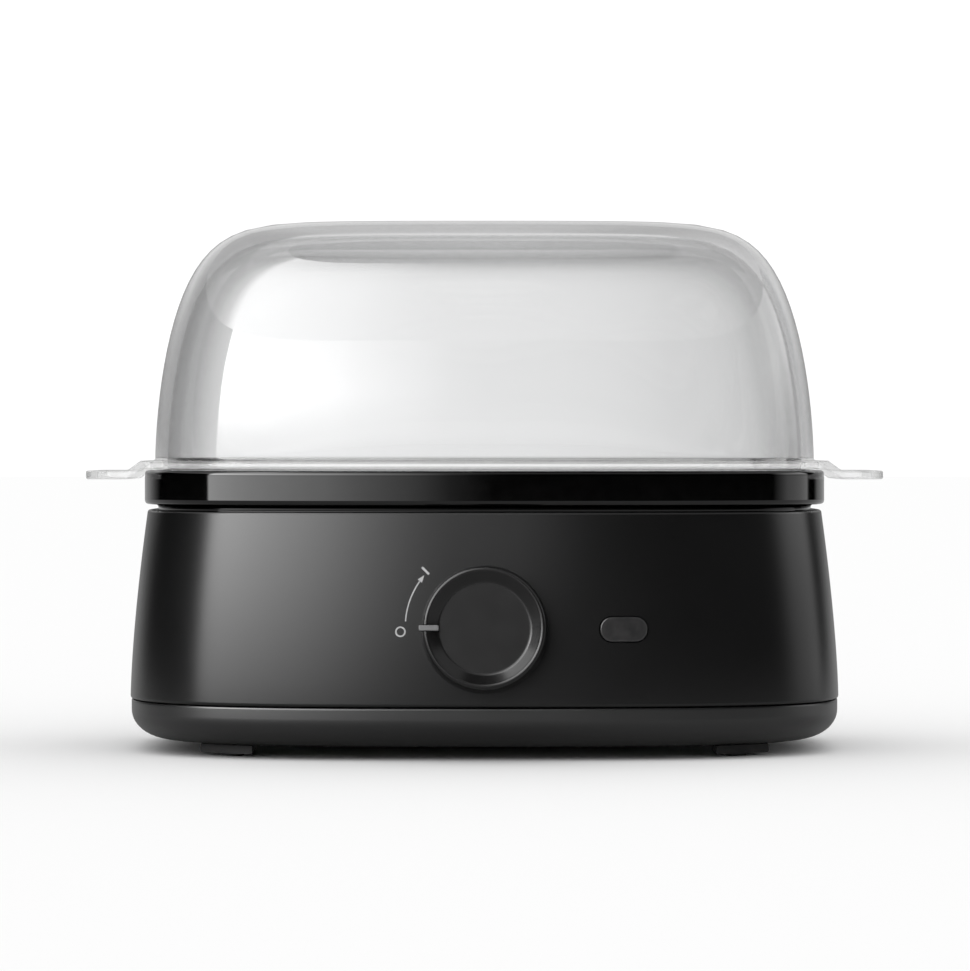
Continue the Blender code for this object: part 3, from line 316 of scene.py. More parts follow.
def block(size_x, size_y, low, high, x=0.0, y=0.0, corner=0.0, edge=0.0):
    """A block, its upright edges rounded by corner and then its ends' edges by edge."""
    bm = bmesh.new()
    bmesh.ops.create_cube(bm, size=1.0)
    bmesh.ops.scale(bm, vec=(size_x, size_y, high - low), verts=bm.verts)
    bmesh.ops.translate(bm, vec=(x, y, (low + high) / 2), verts=bm.verts)
    if corner:
        upright = [item for item in bm.edges if abs(item.verts[0].co.z - item.verts[1].co.z) > 1e-7]
        round_off(bm, upright, corner, 8)
    if edge:
        ends = [item for item in bm.edges if abs(item.verts[0].co.z - item.verts[1].co.z) < 1e-7]
        round_off(bm, ends, edge, 4)
    return bm


def placed(bm, place):
    bmesh.ops.transform(bm, matrix=place, verts=bm.verts)
    return bm


def as_object(name, bm):
    mesh = bpy.data.meshes.new(name)
    bm.to_mesh(mesh)
    bm.free()
    obj = bpy.data.objects.new(name, mesh)
    bpy.context.scene.collection.objects.link(obj)
    return obj


def worked(bm, **tools):
    """A shape joined with, then cut or trimmed by, other shapes: union, difference, intersect."""
    obj = as_object("worked", bm)
    for operation, shapes in tools.items():
        for shape in shapes:
            tool = as_object("tool", shape)
            modifier = obj.modifiers.new("work", "BOOLEAN")
            modifier.operation = operation.upper()
            modifier.object = tool
            graph = bpy.context.evaluated_depsgraph_get()
            shaped = bpy.data.meshes.new_from_object(obj.evaluated_get(graph))
            obj.modifiers.clear()
            obj.data = shaped
            bpy.data.objects.remove(tool)
    out = bmesh.new()
    out.from_mesh(obj.data)
    bpy.data.objects.remove(obj)
    return out


def piece(name, bm, material, body, slot, *nodes, sharp=30.0):
    """A finished piece: its mesh, material, body and the CAD nodes that it stands for. Its slot is not
    used.
    """
    obj = as_object(name, bm)
    obj.data.shade_smooth()
    obj.data.set_sharp_from_angle(angle=radians(sharp))
    obj.modifiers.new("weighted_normals", "WEIGHTED_NORMAL").keep_sharp = True
    obj.data.materials.append(material)
    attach(obj, body)
    if nodes:
        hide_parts(*nodes)
    return obj


class Value:
    """A number in a material, so that its maths reads as an expression."""

    def __init__(self, tree, socket):
        self.tree = tree
        self.socket = socket

    def maths(self, operation, left, right):
        node = self.tree.nodes.new("ShaderNodeMath")
        node.operation = operation
        for socket, value in zip(node.inputs, (left, right)):
            if isinstance(value, Value):
                self.tree.links.new(value.socket, socket)
            else:
                socket.default_value = value
        return Value(self.tree, node.outputs[0])

    def __add__(self, other):
        return self.maths("ADD", self, other)

    def __sub__(self, other):
        return self.maths("SUBTRACT", self, other)

    def __rsub__(self, other):
        return self.maths("SUBTRACT", other, self)

    def __mul__(self, other):
        return self.maths("MULTIPLY", self, other)

    __radd__ = __add__
    __rmul__ = __mul__


class Finish:
    """A surface finish: constants are set on its shader, and expressions drive what changes."""

    def __init__(self, name, colour, **constants):
        self.material = bpy.data.materials.new(name)
        self.material.use_nodes = True
        self.tree = self.material.node_tree
        self.shader = self.tree.nodes["Principled BSDF"]
        self.shader.inputs["Base Color"].default_value = (*colour, 1.0)
        for key, value in constants.items():
            self.shader.inputs[key.replace("_", " ")].default_value = value

    def node(self, kind, settings=(), output=0, **sockets):
        """Any node: its settings first, then the values or links of its sockets."""
        node = self.tree.nodes.new(kind)
        for key, value in dict(settings).items():
            if key == "stops":
                while len(node.color_ramp.elements) < len(value):
                    node.color_ramp.elements.new(0.5)
                for element, (position, colour) in zip(node.color_ramp.elements, value):
                    element.position = position
                    element.color = (*colour, 1.0)
            else:
                setattr(node, key, value)
        for key, value in sockets.items():
            socket = node.inputs[key.replace("_", " ")]
            if isinstance(value, Value):
                self.tree.links.new(value.socket, socket)
            else:
                socket.default_value = value
        return Value(self.tree, node.outputs[output])

    def noise(self, scale, detail=2.0, stretch=(1.0, 1.0, 1.0)):
        """Soft unevenness in the object's own coordinates, its grains stretched along the axes."""
        point = self.node("ShaderNodeTexCoord", output="Object")
        point = self.node("ShaderNodeMapping", Vector=point, Scale=stretch)
        return self.node("ShaderNodeTexNoise", Vector=point, Scale=scale, Detail=detail)

    def tones(self, factor, *stops):
        return self.node("ShaderNodeValToRGB", {"stops": stops}, Fac=factor)

    def drive(self, socket, value):
        self.tree.links.new(value.socket, self.shader.inputs[socket])

    def bump(self, height, distance):
        self.drive("Normal", self.node("ShaderNodeBump", Height=height, Distance=distance))


def moulded(name, colour, roughness, grain=0.000004, scale=5200.0, specular=0.5):
    """Plastic from an etched mould: a fine even grain and a faint unevenness in its sheen."""
    finish = Finish(name, colour, Specular_IOR_Level=specular)
    fine = finish.noise(scale, detail=1.0)
    broad = finish.noise(26.0, detail=3.0)
    darker = tuple(channel * 0.88 for channel in colour)
    lighter = tuple(channel * 1.12 for channel in colour)
    finish.drive("Base Color", finish.tones(broad, (0.3, darker), (0.7, lighter)))
    finish.drive("Roughness", roughness + 0.05 * (broad - 0.5) + 0.04 * (fine - 0.5))
    finish.bump(fine, grain)
    return finish.material


COVER_LOW, COVER_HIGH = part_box("base_cover")
COVER_HALF = (COVER_HIGH.x - COVER_LOW.x) / 2
COVER_FLOOR = COVER_LOW.z
COVER_WALL = 0.0022
COVER_FLOOR_HALF = COVER_HALF - 0.0099
COVER_LIP_RISE, COVER_LIP_INSET, COVER_LIP_WALL = 0.0026, 0.0024, 0.0016
SEAM_HEIGHT = COVER_HIGH.z - COVER_LIP_RISE
COVER_UPRIGHT = 0.003
BEND_STEPS = 14
FOOT_X, FOOT_Y = 0.0703, 0.0430
WELL_RADIUS, WELL_TOP = 0.0043, 0.0096
TURRET_RADIUS, TURRET_FOOT, TURRET_TOP = 0.0064, 0.0045, 0.0120
SCREW_HOLE = 0.0017
SLOT_PITCH, SLOT_WIDTH, SLOT_LENGTH = 0.008, 0.0028, 0.034


def corners(x, y):
    """The same place at the cooker's four corners, with each corner's name."""
    for name_y, side_y in (("front", -1), ("rear", 1)):
        for name_x, side_x in (("left", -1), ("right", 1)):
            yield f"{name_y}_{name_x}", side_x * x, MIDDLE.y + side_y * y


bend = [
    (COVER_FLOOR_HALF + (COVER_HALF - COVER_FLOOR_HALF) * sin(pi / 2 * step / BEND_STEPS),
     COVER_FLOOR + (SEAM_HEIGHT - COVER_UPRIGHT - COVER_FLOOR) * (1 - cos(pi / 2 * step / BEND_STEPS)))
    for step in range(BEND_STEPS + 1)
]
lip = COVER_HALF - COVER_LIP_INSET
cover_levels = [(CAP_HALF, COVER_FLOOR), *bend, (COVER_HALF, SEAM_HEIGHT), (lip, SEAM_HEIGHT)]
cover_levels += [(lip, SEAM_HEIGHT + COVER_LIP_RISE), (lip - COVER_LIP_WALL, SEAM_HEIGHT + COVER_LIP_RISE)]
cover_levels += [(half_x - COVER_WALL, z + COVER_WALL * 0.8) for half_x, z in reversed(bend[2:12])]
cover_levels += [(COVER_FLOOR_HALF - COVER_WALL, COVER_FLOOR + COVER_WALL)]
cover_levels += [(CAP_HALF, COVER_FLOOR + COVER_WALL)]
cover = shell(eased(cover_levels, 0.0005, 3))
turrets = [cylinder(TURRET_RADIUS, TURRET_FOOT, TURRET_TOP, x, y) for _, x, y in corners(FOOT_X, FOOT_Y)]
wells = [cylinder(WELL_RADIUS, -0.01, WELL_TOP, x, y) for _, x, y in corners(FOOT_X, FOOT_Y)]
wells += [cylinder(SCREW_HOLE, 0.005, 0.016, x, y, 24) for _, x, y in corners(FOOT_X, FOOT_Y)]
slot_end = SLOT_WIDTH * 0.45
slots = [
    block(SLOT_WIDTH, SLOT_LENGTH, -0.01, 0.010, index * SLOT_PITCH, MIDDLE.y, corner=slot_end)
    for index in range(-3, 4)
]
cover = worked(cover, union=turrets, difference=wells + slots)
base_black = moulded("base_black", (0.0040, 0.0040, 0.0041), 0.32, specular=0.8)
piece("base_moulding", cover, base_black, "base", "satin_black", "base_cover")


# ------------------------------------------------------------------ feet and case screws
# Four moulded rubber feet press into the screw wells and hide the screws. Each is a low block,
# trimmed to the case's outline, with a round pad that bears on the table.

FIT_GAP = 0.0003
FOOT_SOLE, FOOT_TOP = 0.0008, COVER_FLOOR - FIT_GAP
FOOT_WIDTH, FOOT_LENGTH, FOOT_CORNER, FOOT_EDGE = 0.0148, 0.0260, 0.003, 0.0005
PAD_X, PAD_Y, PAD_RADIUS, PAD_TOP, PAD_EDGE = 0.0687, 0.0450, 0.0030, 0.0020, 0.0003
PLUG_TOP = 0.0060

rubber = Finish("foot_rubber", (0.016, 0.016, 0.0165), Specular_IOR_Level=0.35)
dust = rubber.noise(340.0, detail=4.0)
rubber.drive(
    "Base Color", rubber.tones(dust, (0.35, (0.013, 0.013, 0.0135)), (0.75, (0.024, 0.0235, 0.023)))
)
rubber.drive("Roughness", 0.62 + 0.2 * dust)
rubber.bump(rubber.noise(2600.0, detail=2.0), 0.000012)
pads = {name: (x, y) for name, x, y in corners(PAD_X, PAD_Y)}
for name, x, y in corners(FOOT_X, FOOT_Y):
    foot = block(FOOT_WIDTH, FOOT_LENGTH, FOOT_SOLE, FOOT_TOP, x, y, FOOT_CORNER, FOOT_EDGE)
    outline = shell([(COVER_FLOOR_HALF - FIT_GAP, -0.002), (COVER_FLOOR_HALF - FIT_GAP, 0.006)])
    pad = cylinder(PAD_RADIUS, 0.0, PAD_TOP, *pads[name], edge=PAD_EDGE)
    plug = cylinder(WELL_RADIUS - FIT_GAP, PAD_TOP, PLUG_TOP, x, y, edge=PAD_EDGE)
    foot = worked(foot, intersect=[outline], union=[pad, plug])
    piece(f"{name}_foot", foot, rubber.material, "base", "rubber", f"foot_{name}")


def plated(name, colour, roughness, scale, stretch=(1.0, 1.0, 1.0)):
    """Plated or rolled metal: fine drawn lines, and a clouded sheen from the bath."""
    finish = Finish(name, colour, Metallic=1.0)
    lines = finish.noise(scale, detail=3.0, stretch=stretch)
    cloud = finish.noise(160.0, detail=3.0)
    darker = tuple(channel * 0.8 for channel in colour)
    finish.drive("Base Color", finish.tones(cloud, (0.3, darker), (0.65, colour)))
    finish.drive("Roughness", roughness + 0.12 * (cloud - 0.5) + 0.10 * (lines - 0.5))
    finish.bump(lines, 0.000003)
    return finish.material


def refinish(material, *nodes):
    """Gives CAD nodes, whose shapes are kept, their real finish."""
    for node in nodes:
        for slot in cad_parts[node].material_slots:
            slot.material = material


zinc = plated("zinc_plate", (0.62, 0.62, 0.60), 0.34, 2400.0)
refinish(zinc, *(f"base_screw_{name}" for name, _, _ in corners(0.0, 0.0)))
refinish(zinc, "board_screw_lower", "board_screw_upper", "switch_screw_left", "switch_screw_right")
refinish(zinc, "shield_nut_left", "shield_nut_right", "switch_nut", "earth_tag")


# ------------------------------------------------------------------ terminal block and wiring
# The cord's cores end in a glazed ceramic block on the base. Single insulated wires run from it
# to the switch, the thermostat and the heating element, with the earth under a shield nut.


def extruded(name, colour):
    """A wire's skin: slightly uneven in tone, and shiny where the die drew it."""
    finish = Finish(name, colour, Specular_IOR_Level=0.4)
    waves = finish.noise(420.0, detail=2.0)
    darker = tuple(channel * 0.78 for channel in colour)
    finish.drive("Base Color", finish.tones(waves, (0.3, darker), (0.7, colour)))
    finish.drive("Roughness", 0.42 + 0.14 * waves)
    finish.bump(finish.noise(1800.0, detail=1.0), 0.000008)
    return finish.material


glaze = Finish("glazed_ceramic", (0.80, 0.79, 0.75), Coat_Weight=0.6, Coat_Roughness=0.12)
specks = glaze.noise(900.0, detail=4.0)
glaze.drive("Base Color", glaze.tones(specks, (0.25, (0.62, 0.60, 0.55)), (0.45, (0.82, 0.80, 0.76))))
glaze.drive("Roughness", 0.38 + 0.2 * specks)
glaze.bump(glaze.noise(700.0, detail=2.0), 0.00002)
refinish(glaze.material, "terminal_block", "thermostat", "board_connector")
refinish(glaze.material, "element_terminal_left", "element_terminal_right")
refinish(extruded("brown_skin", (0.20, 0.09, 0.05)), "live_wire")
refinish(extruded("blue_skin", (0.05, 0.13, 0.42)), "neutral_wire")
refinish(extruded("white_skin", (0.76, 0.76, 0.72)), "switched_wire", "element_wire", "board_wire")

earth_skin = Finish("earth_skin", (0.25, 0.45, 0.08), Specular_IOR_Level=0.4)
stripes = earth_skin.noise(150.0, detail=0.0, stretch=(1.0, 1.0, 2.0))
earth_skin.drive(
    "Base Color", earth_skin.tones(stripes, (0.48, (0.10, 0.36, 0.06)), (0.52, (0.72, 0.66, 0.05)))
)
earth_skin.drive("Roughness", 0.42 + 0.14 * stripes)
refinish(earth_skin.material, "earth_wire")


# ------------------------------------------------------------------ switch and indicator board
# The rotary switch sits on a steel plate behind the front wall. A small circuit board on two
# posts carries the lamp under the lens, with a buzzer, a capacitor and a connector.

rolled_steel = plated("rolled_steel", (0.60, 0.60, 0.59), 0.30, 900.0, stretch=(0.05, 1.0, 1.0))
refinish(rolled_steel, "switch_bracket", "thermostat_bracket", "fuse_clip", "heat_shield")
refinish(moulded("switch_grey", (0.10, 0.10, 0.11), 0.48, 0.00001, 1500.0), "switch_body")
refinish(moulded("buzzer_black", (0.02, 0.02, 0.021), 0.42, 0.00001, 1500.0), "buzzer")
refinish(moulded("film_red", (0.30, 0.07, 0.035), 0.3, 0.00001, 900.0), "capacitor")

board_green = Finish("board_green", (0.05, 0.20, 0.10), Coat_Weight=0.5, Coat_Roughness=0.2)
weave = board_green.node(
    "ShaderNodeTexBrick",
    Vector=board_green.node("ShaderNodeTexCoord", output="Object"),
    Scale=600.0,
    Color1=(0.035, 0.17, 0.08, 1.0),
    Color2=(0.05, 0.22, 0.10, 1.0),
    Mortar=(0.07, 0.28, 0.13, 1.0),
)
board_green.drive("Base Color", weave)
board_green.drive("Roughness", 0.36 + 0.2 * board_green.noise(500.0))
refinish(board_green.material, "circuit_board")

lamp = Finish("lamp_resin", (0.90, 0.84, 0.62), Transmission_Weight=0.6, IOR=1.52)
haze = lamp.noise(1300.0, detail=3.0)
lamp.drive("Base Color", lamp.tones(haze, (0.3, (0.82, 0.74, 0.50)), (0.7, (0.93, 0.88, 0.70))))
lamp.drive("Roughness", 0.10 + 0.1 * haze)
refinish(lamp.material, "indicator_led")


# ------------------------------------------------------------------ housing
# One deep injection-moulded ring of satin black plastic, nearly upright at its foot and leaning
# in above. Inside are the bosses for the case screws and the posts for the switch and the board.

HOUSING_WALL = 0.0024
HOUSING_LOW, HOUSING_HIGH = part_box("housing")
HOUSING_HALF = (HOUSING_HIGH.x - HOUSING_LOW.x) / 2
HOUSING_LEAN = 0.0048
WALL_STEPS = 18
KNOB_HEIGHT_Z = 0.0351
LENS_X, LENS_Z = 0.0373, 0.0353
LENS_LENGTH, LENS_WIDTH = 0.0128, 0.0066
INLET_Z = 0.0270
BOSS_RADIUS, BOSS_LOW, BOSS_TOP = 0.0042, 0.0123, 0.0340
RIB_THICKNESS, RIB_LENGTH, RIB_LOW, RIB_TOP, RIB_OFFSET = 0.0018, 0.0160, 0.0180, 0.0310, 0.0095
SWITCH_POST_X, SWITCH_POST_RADIUS, SWITCH_POST_END = 0.0165, 0.0032, -0.0060
BOARD_POSTS = ((-0.0105, -0.0135), (0.0165, 0.0045))
BOARD_POST_RADIUS, BOARD_POST_END = 0.0028, -0.0100
POST_ROOT, BORE_PAST = -0.0016, 0.0010
SHAFT_HOLE, INLET_HOLE, LENS_GAP = 0.0037, 0.0063, 0.0003


def housing_half(z):
    """Half the width of the housing's outer face."""
    share = (z - SEAM_HEIGHT) / (HOUSING_HIGH.z - SEAM_HEIGHT)
    return HOUSING_HALF - HOUSING_LEAN * max(share, 0.0) ** 1.5


def wall_depth(x, z):
    """How far the housing's outer face is from the middle plane."""
    half_x = housing_half(z)
    return half_depth(half_x) * (1 - (abs(x) / half_x) ** PLAN_POWER) ** (1 / PLAN_POWER)


def on_wall(x, z, side):
    """The place on the housing's outer face whose own +Z points straight out: -1 front, 1 rear."""
    step = 0.0005
    lean = atan((wall_depth(x, z - step) - wall_depth(x, z + step)) / (2 * step))
    yaw = atan((wall_depth(x - step, z) - wall_depth(x + step, z)) / (2 * step))
    turn = Euler((pi / 2 - lean, 0.0, yaw if side < 0 else pi - yaw)).to_matrix().to_4x4()
    return Matrix.Translation((x, MIDDLE.y + side * wall_depth(x, z), z)) @ turn


KNOB_PLACE = on_wall(0.0, KNOB_HEIGHT_Z, -1)
LENS_PLACE = on_wall(LENS_X, LENS_Z, -1)
INLET_PLACE = on_wall(0.0, INLET_Z, 1)


def stadium(length, width, low, high, edge=0.0):
    return block(length, width, low, high, corner=width / 2 * 0.995, edge=edge)


wall_low, wall_high = SEAM_HEIGHT + FIT_GAP, HOUSING_HIGH.z
outer = [wall_low + (wall_high - wall_low) * step / WALL_STEPS for step in range(WALL_STEPS + 1)]
outer = [(housing_half(z), z) for z in outer]
inner = [(half_x - HOUSING_WALL, z) for half_x, z in reversed(outer)]
housing_levels = eased([(outer[0][0] - HOUSING_WALL / 2, wall_low), *outer, *inner], 0.0007, 4)
housing = shell(housing_levels, ring=True)
bosses, bores = [], []
for _, x, y in corners(FOOT_X, FOOT_Y):
    bosses.append(cylinder(BOSS_RADIUS, BOSS_LOW, BOSS_TOP, x, y, 32))
    rib_y = y + copysign(RIB_OFFSET, y - MIDDLE.y)
    bosses.append(block(RIB_THICKNESS, RIB_LENGTH, RIB_LOW, RIB_TOP, x, rib_y))
    bores.append(cylinder(SCREW_HOLE, 0.010, 0.0285, x, y, 24))
for x in (-SWITCH_POST_X, SWITCH_POST_X):
    post = cylinder(SWITCH_POST_RADIUS, SWITCH_POST_END, POST_ROOT, x, 0.0, 32)
    bore = cylinder(SCREW_HOLE, SWITCH_POST_END - BORE_PAST, POST_ROOT - 0.0010, x, 0.0, 24)
    bosses.append(placed(post, KNOB_PLACE))
    bores.append(placed(bore, KNOB_PLACE))
for x, y in BOARD_POSTS:
    post = cylinder(BOARD_POST_RADIUS, BOARD_POST_END, POST_ROOT, x, y, 32)
    bore = cylinder(SCREW_HOLE, BOARD_POST_END - BORE_PAST, POST_ROOT - 0.0020, x, y, 24)
    bosses.append(placed(post, LENS_PLACE))
    bores.append(placed(bore, LENS_PLACE))
window = stadium(LENS_LENGTH + 2 * LENS_GAP, LENS_WIDTH + 2 * LENS_GAP, -0.006, 0.004)
bores.append(placed(cylinder(SHAFT_HOLE, -0.0045, 0.0020), KNOB_PLACE))
bores.append(placed(window, LENS_PLACE))
bores.append(placed(cylinder(INLET_HOLE, -0.006, 0.004), INLET_PLACE))
housing = worked(housing, union=bosses, difference=bores)
housing_black = moulded("housing_black", (0.0040, 0.0040, 0.0041), 0.25, specular=0.44)
piece("housing_moulding", housing, housing_black, "base", "satin_black", "housing")


# ------------------------------------------------------------------ printed marks
# Pad-printed light grey ink round the knob: an open ring at off, an arrow that sweeps clockwise
# from it, and a short bar at full on.

INK_THICKNESS = 0.00003
SWEEP_CENTRE_Z = 0.0360
OFF_PLACE = (-0.0225, 0.0347)
ON_PLACE = (-0.0158, 0.0510)
SWEEP_RADIUS, SWEEP_WIDTH = 0.0212, 0.00034
SWEEP_START, SWEEP_END = 176.0, 145.0
OFF_RADIUS, OFF_STROKE = 0.00122, 0.00042
HEAD_WIDTH, HEAD_LENGTH = 0.00085, 0.0013
BAR_LENGTH, BAR_STROKE, BAR_TURN = 0.00265, 0.00061, -45.0

ink = Finish("grey_ink", (0.50, 0.50, 0.50), Specular_IOR_Level=0.4)
spots = ink.noise(4200.0, detail=2.0)
ink.drive("Base Color", ink.tones(spots, (0.3, (0.40, 0.40, 0.40)), (0.6, (0.54, 0.54, 0.545))))
ink.drive("Roughness", 0.40 + 0.15 * spots)


def printed(name, bm, x, z):
    """Lays a flat figure, drawn about x and z, on the front wall as a film of ink."""
    faces = bmesh.ops.extrude_face_region(bm, geom=bm.faces[:])["geom"]
    top = [item for item in faces if isinstance(item, bmesh.types.BMVert)]
    bmesh.ops.translate(bm, vec=(0.0, 0.0, INK_THICKNESS), verts=top)
    for vert in bm.verts:
        across, up, out = vert.co
        vert.co = (x + across, MIDDLE.y - wall_depth(x + across, z + up) - out, z + up)
    bmesh.ops.recalc_face_normals(bm, faces=bm.faces)
    piece(name, bm, ink.material, "base", "pointer_grey")


def ring_figure(radius, width, start, end, steps):
    """A flat stripe round part or all of a circle, its angles anticlockwise from the right."""
    bm = bmesh.new()
    reaches = (radius - width / 2, radius + width / 2)
    ends = [bmesh.ops.create_vert(bm, co=(reach, 0.0, 0.0))["vert"][0] for reach in reaches]
    edge = bmesh.ops.contextual_create(bm, geom=ends)["edges"]
    bmesh.ops.rotate(bm, matrix=Matrix.Rotation(radians(start), 3, "Z"), verts=bm.verts)
    spin = dict(axis=(0.0, 0.0, 1.0), cent=(0.0, 0.0, 0.0), angle=radians(end - start), steps=steps)
    bmesh.ops.spin(bm, geom=ends + edge, use_merge=abs(end - start) > 359.0, **spin)
    return bm


printed("off_mark", ring_figure(OFF_RADIUS, OFF_STROKE, 0.0, 360.0, 40), *OFF_PLACE)
arrow = ring_figure(SWEEP_RADIUS, SWEEP_WIDTH, SWEEP_START, SWEEP_END, 30)
head = bmesh.ops.create_circle(arrow, cap_ends=True, segments=3, radius=1.0)["verts"]
bmesh.ops.scale(arrow, vec=(HEAD_WIDTH, HEAD_LENGTH, 1.0), verts=head)
head_turn = Matrix.Rotation(radians(SWEEP_END - 2.0 + 180.0), 4, "Z")
head_place = head_turn @ Matrix.Translation((-SWEEP_RADIUS, 0.0, 0.0))
bmesh.ops.transform(arrow, matrix=head_place, verts=head)
printed("sweep_arrow", arrow, 0.0, SWEEP_CENTRE_Z)
bar = bmesh.new()
bmesh.ops.create_grid(bar, x_segments=6, y_segments=1, size=0.5)
bmesh.ops.scale(bar, vec=(BAR_LENGTH, BAR_STROKE, 1.0), verts=bar.verts)
bmesh.ops.rotate(bar, matrix=Matrix.Rotation(radians(BAR_TURN), 3, "Z"), verts=bar.verts)
printed("on_mark", bar, *ON_PLACE)


# ------------------------------------------------------------------ indicator lens
# A smoked clear moulding pressed into its slot from inside, where a flange stops it. Its front
# stands just proud of the wall and has a soft rounded edge.

LENS_BACK, LENS_PROUD, LENS_EDGE = -0.0040, 0.0005, 0.00035
STOP_EXTRA, STOP_BACK, STOP_FRONT = 0.0024, -0.0044, -0.0034

lens = stadium(LENS_LENGTH, LENS_WIDTH, LENS_BACK, LENS_PROUD, LENS_EDGE)
stop = stadium(LENS_LENGTH + STOP_EXTRA, LENS_WIDTH + STOP_EXTRA, STOP_BACK, STOP_FRONT)
lens = worked(lens, union=[stop])
smoked = Finish("smoked_lens", (0.016, 0.016, 0.0165), IOR=1.49, Coat_Weight=0.2, Coat_Roughness=0.08)
swirl = smoked.noise(210.0, detail=3.0)
smoked.drive(
    "Base Color", smoked.tones(swirl, (0.3, (0.020, 0.020, 0.021)), (0.7, (0.042, 0.041, 0.041)))
)
smoked.drive("Roughness", 0.12 + 0.08 * swirl)
smoked.bump(smoked.noise(700.0, detail=1.0), 0.000006)
piece("lens", placed(lens, LENS_PLACE), smoked.material, "base", "smoked_lens", "indicator_lens")


# ------------------------------------------------------------------ cord gland
# A bored rubber sleeve at the rear, with a flange on each side of the wall. The mains cord goes
# in through it.


def turned(profile, place, steps=96):
    """A turned part: a closed profile of (radius, height), spun about its own Z axis."""
    bm = bmesh.new()
    verts = [bmesh.ops.create_vert(bm, co=(radius, 0.0, z))["vert"][0] for radius, z in profile]
    edges = []
    for first, second in zip(verts, verts[1:]):
        edges += bmesh.ops.contextual_create(bm, geom=[first, second])["edges"]
    spin = dict(axis=(0.0, 0.0, 1.0), cent=(0.0, 0.0, 0.0), angle=2 * pi, steps=steps)
    bmesh.ops.spin(bm, geom=verts + edges, use_merge=True, **spin)
    bmesh.ops.remove_doubles(bm, verts=bm.verts, dist=1e-7)
    bmesh.ops.recalc_face_normals(bm, faces=bm.faces)
    return placed(bm, place)


GLAND_BORE, GLAND_NECK, GLAND_FLANGE, GLAND_FACE = 0.0038, 0.0060, 0.0082, 0.0020
INNER_FLANGE, INNER_FLANGE_DEPTH, FLANGE_TAPER = 0.0076, 0.0016, 0.0004
GLAND_START = -0.0006

behind = -HOUSING_WALL - FIT_GAP
gland_end = behind - INNER_FLANGE_DEPTH
gland_profile = [(GLAND_BORE, GLAND_START), (GLAND_BORE, GLAND_FACE), (GLAND_FLANGE - 0.0010, GLAND_FACE)]
gland_profile += [(GLAND_FLANGE, GLAND_FACE - 0.0008), (GLAND_FLANGE, FIT_GAP), (GLAND_NECK, FIT_GAP)]
gland_profile += [(GLAND_NECK, behind), (INNER_FLANGE, behind), (INNER_FLANGE - FLANGE_TAPER, gland_end)]
gland_profile += [(GLAND_BORE, gland_end), (GLAND_BORE, GLAND_START)]
gland = turned(eased(gland_profile, 0.0005), INLET_PLACE)
piece("gland", gland, rubber.material, "base", "rubber", "cord_grommet")


# ------------------------------------------------------------------ rim band and seal
# A high-gloss black band round the top of the case. A ledge inside it carries the heating plate
# on a silicone ring, and its neck drops into the housing with a shadow gap above the wall.

RIM_LOW, RIM_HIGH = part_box("rim_band")
RIM_HALF = (RIM_HIGH.x - RIM_LOW.x) / 2
RIM_INNER_HALF = 0.0900
RIM_FOOT = 0.0683
LEDGE_HALF, LEDGE_HEIGHT = 0.0844, 0.0705
LEDGE_SHEET = 0.002
NECK_HALF, NECK_WALL = 0.0913, 0.0022
# The outline starts and ends at these two heights on its flat outer face.
RIM_JOIN = (0.0725, 0.0730)

gloss = Finish("gloss_black", (0.0008, 0.0008, 0.0008))
ripple = gloss.noise(60.0, detail=1.0)
handling = gloss.noise(310.0, detail=5.0)
gloss.drive(
    "Base Color", gloss.tones(handling, (0.3, (0.0006, 0.0006, 0.0006)), (0.7, (0.0010, 0.0010, 0.0010)))
)
gloss.drive("Roughness", 0.045 + 0.035 * handling)
gloss.bump(ripple, 0.00001)
rim_levels = [(RIM_HALF, RIM_JOIN[1]), (RIM_HALF, RIM_HIGH.z), (RIM_INNER_HALF, RIM_HIGH.z)]
rim_levels += [(RIM_INNER_HALF, LEDGE_HEIGHT), (LEDGE_HALF, LEDGE_HEIGHT)]
rim_levels += [(LEDGE_HALF, LEDGE_HEIGHT - LEDGE_SHEET)]
rim_levels += [(NECK_HALF - NECK_WALL, LEDGE_HEIGHT - LEDGE_SHEET)]
rim_levels += [(NECK_HALF - NECK_WALL, RIM_LOW.z), (NECK_HALF, RIM_LOW.z), (NECK_HALF, RIM_FOOT)]
rim_levels += [(RIM_HALF, RIM_FOOT), (RIM_HALF, RIM_JOIN[0])]
rim = shell(eased(rim_levels, 0.0012, 6), ring=True)
piece("rim", rim, gloss.material, "base", "glossy_black", "rim_band")

silicone = Finish("silicone", (0.55, 0.55, 0.53), Subsurface_Weight=0.1, Subsurface_Scale=0.001)
bloom = silicone.noise(500.0, detail=4.0)
silicone.drive(
    "Base Color", silicone.tones(bloom, (0.3, (0.47, 0.47, 0.45)), (0.7, (0.58, 0.58, 0.56)))
)
silicone.drive("Roughness", 0.5 + 0.2 * bloom)
silicone.bump(bloom, 0.00001)
refinish(silicone.material, "plate_seal")


# ------------------------------------------------------------------ heating plate and element
# A pan pressed from stainless sheet, with a sink for the water over the element. Its studs carry
# the heat shield, and the element, thermostat and thermal fuse sit under the sink.

PLATE_SHEET = 0.0008
SINK_FLOOR, PAN_FLOOR = 0.0534, 0.0548
PAN_BRIM_HALF, PAN_BRIM = 0.0892, 0.0734
STUD_X, SHIELD_TOP, STUD_END = 0.0640, 0.0415, 0.0360
STUD_RADIUS, THREAD_RADIUS = 0.0034, 0.0019

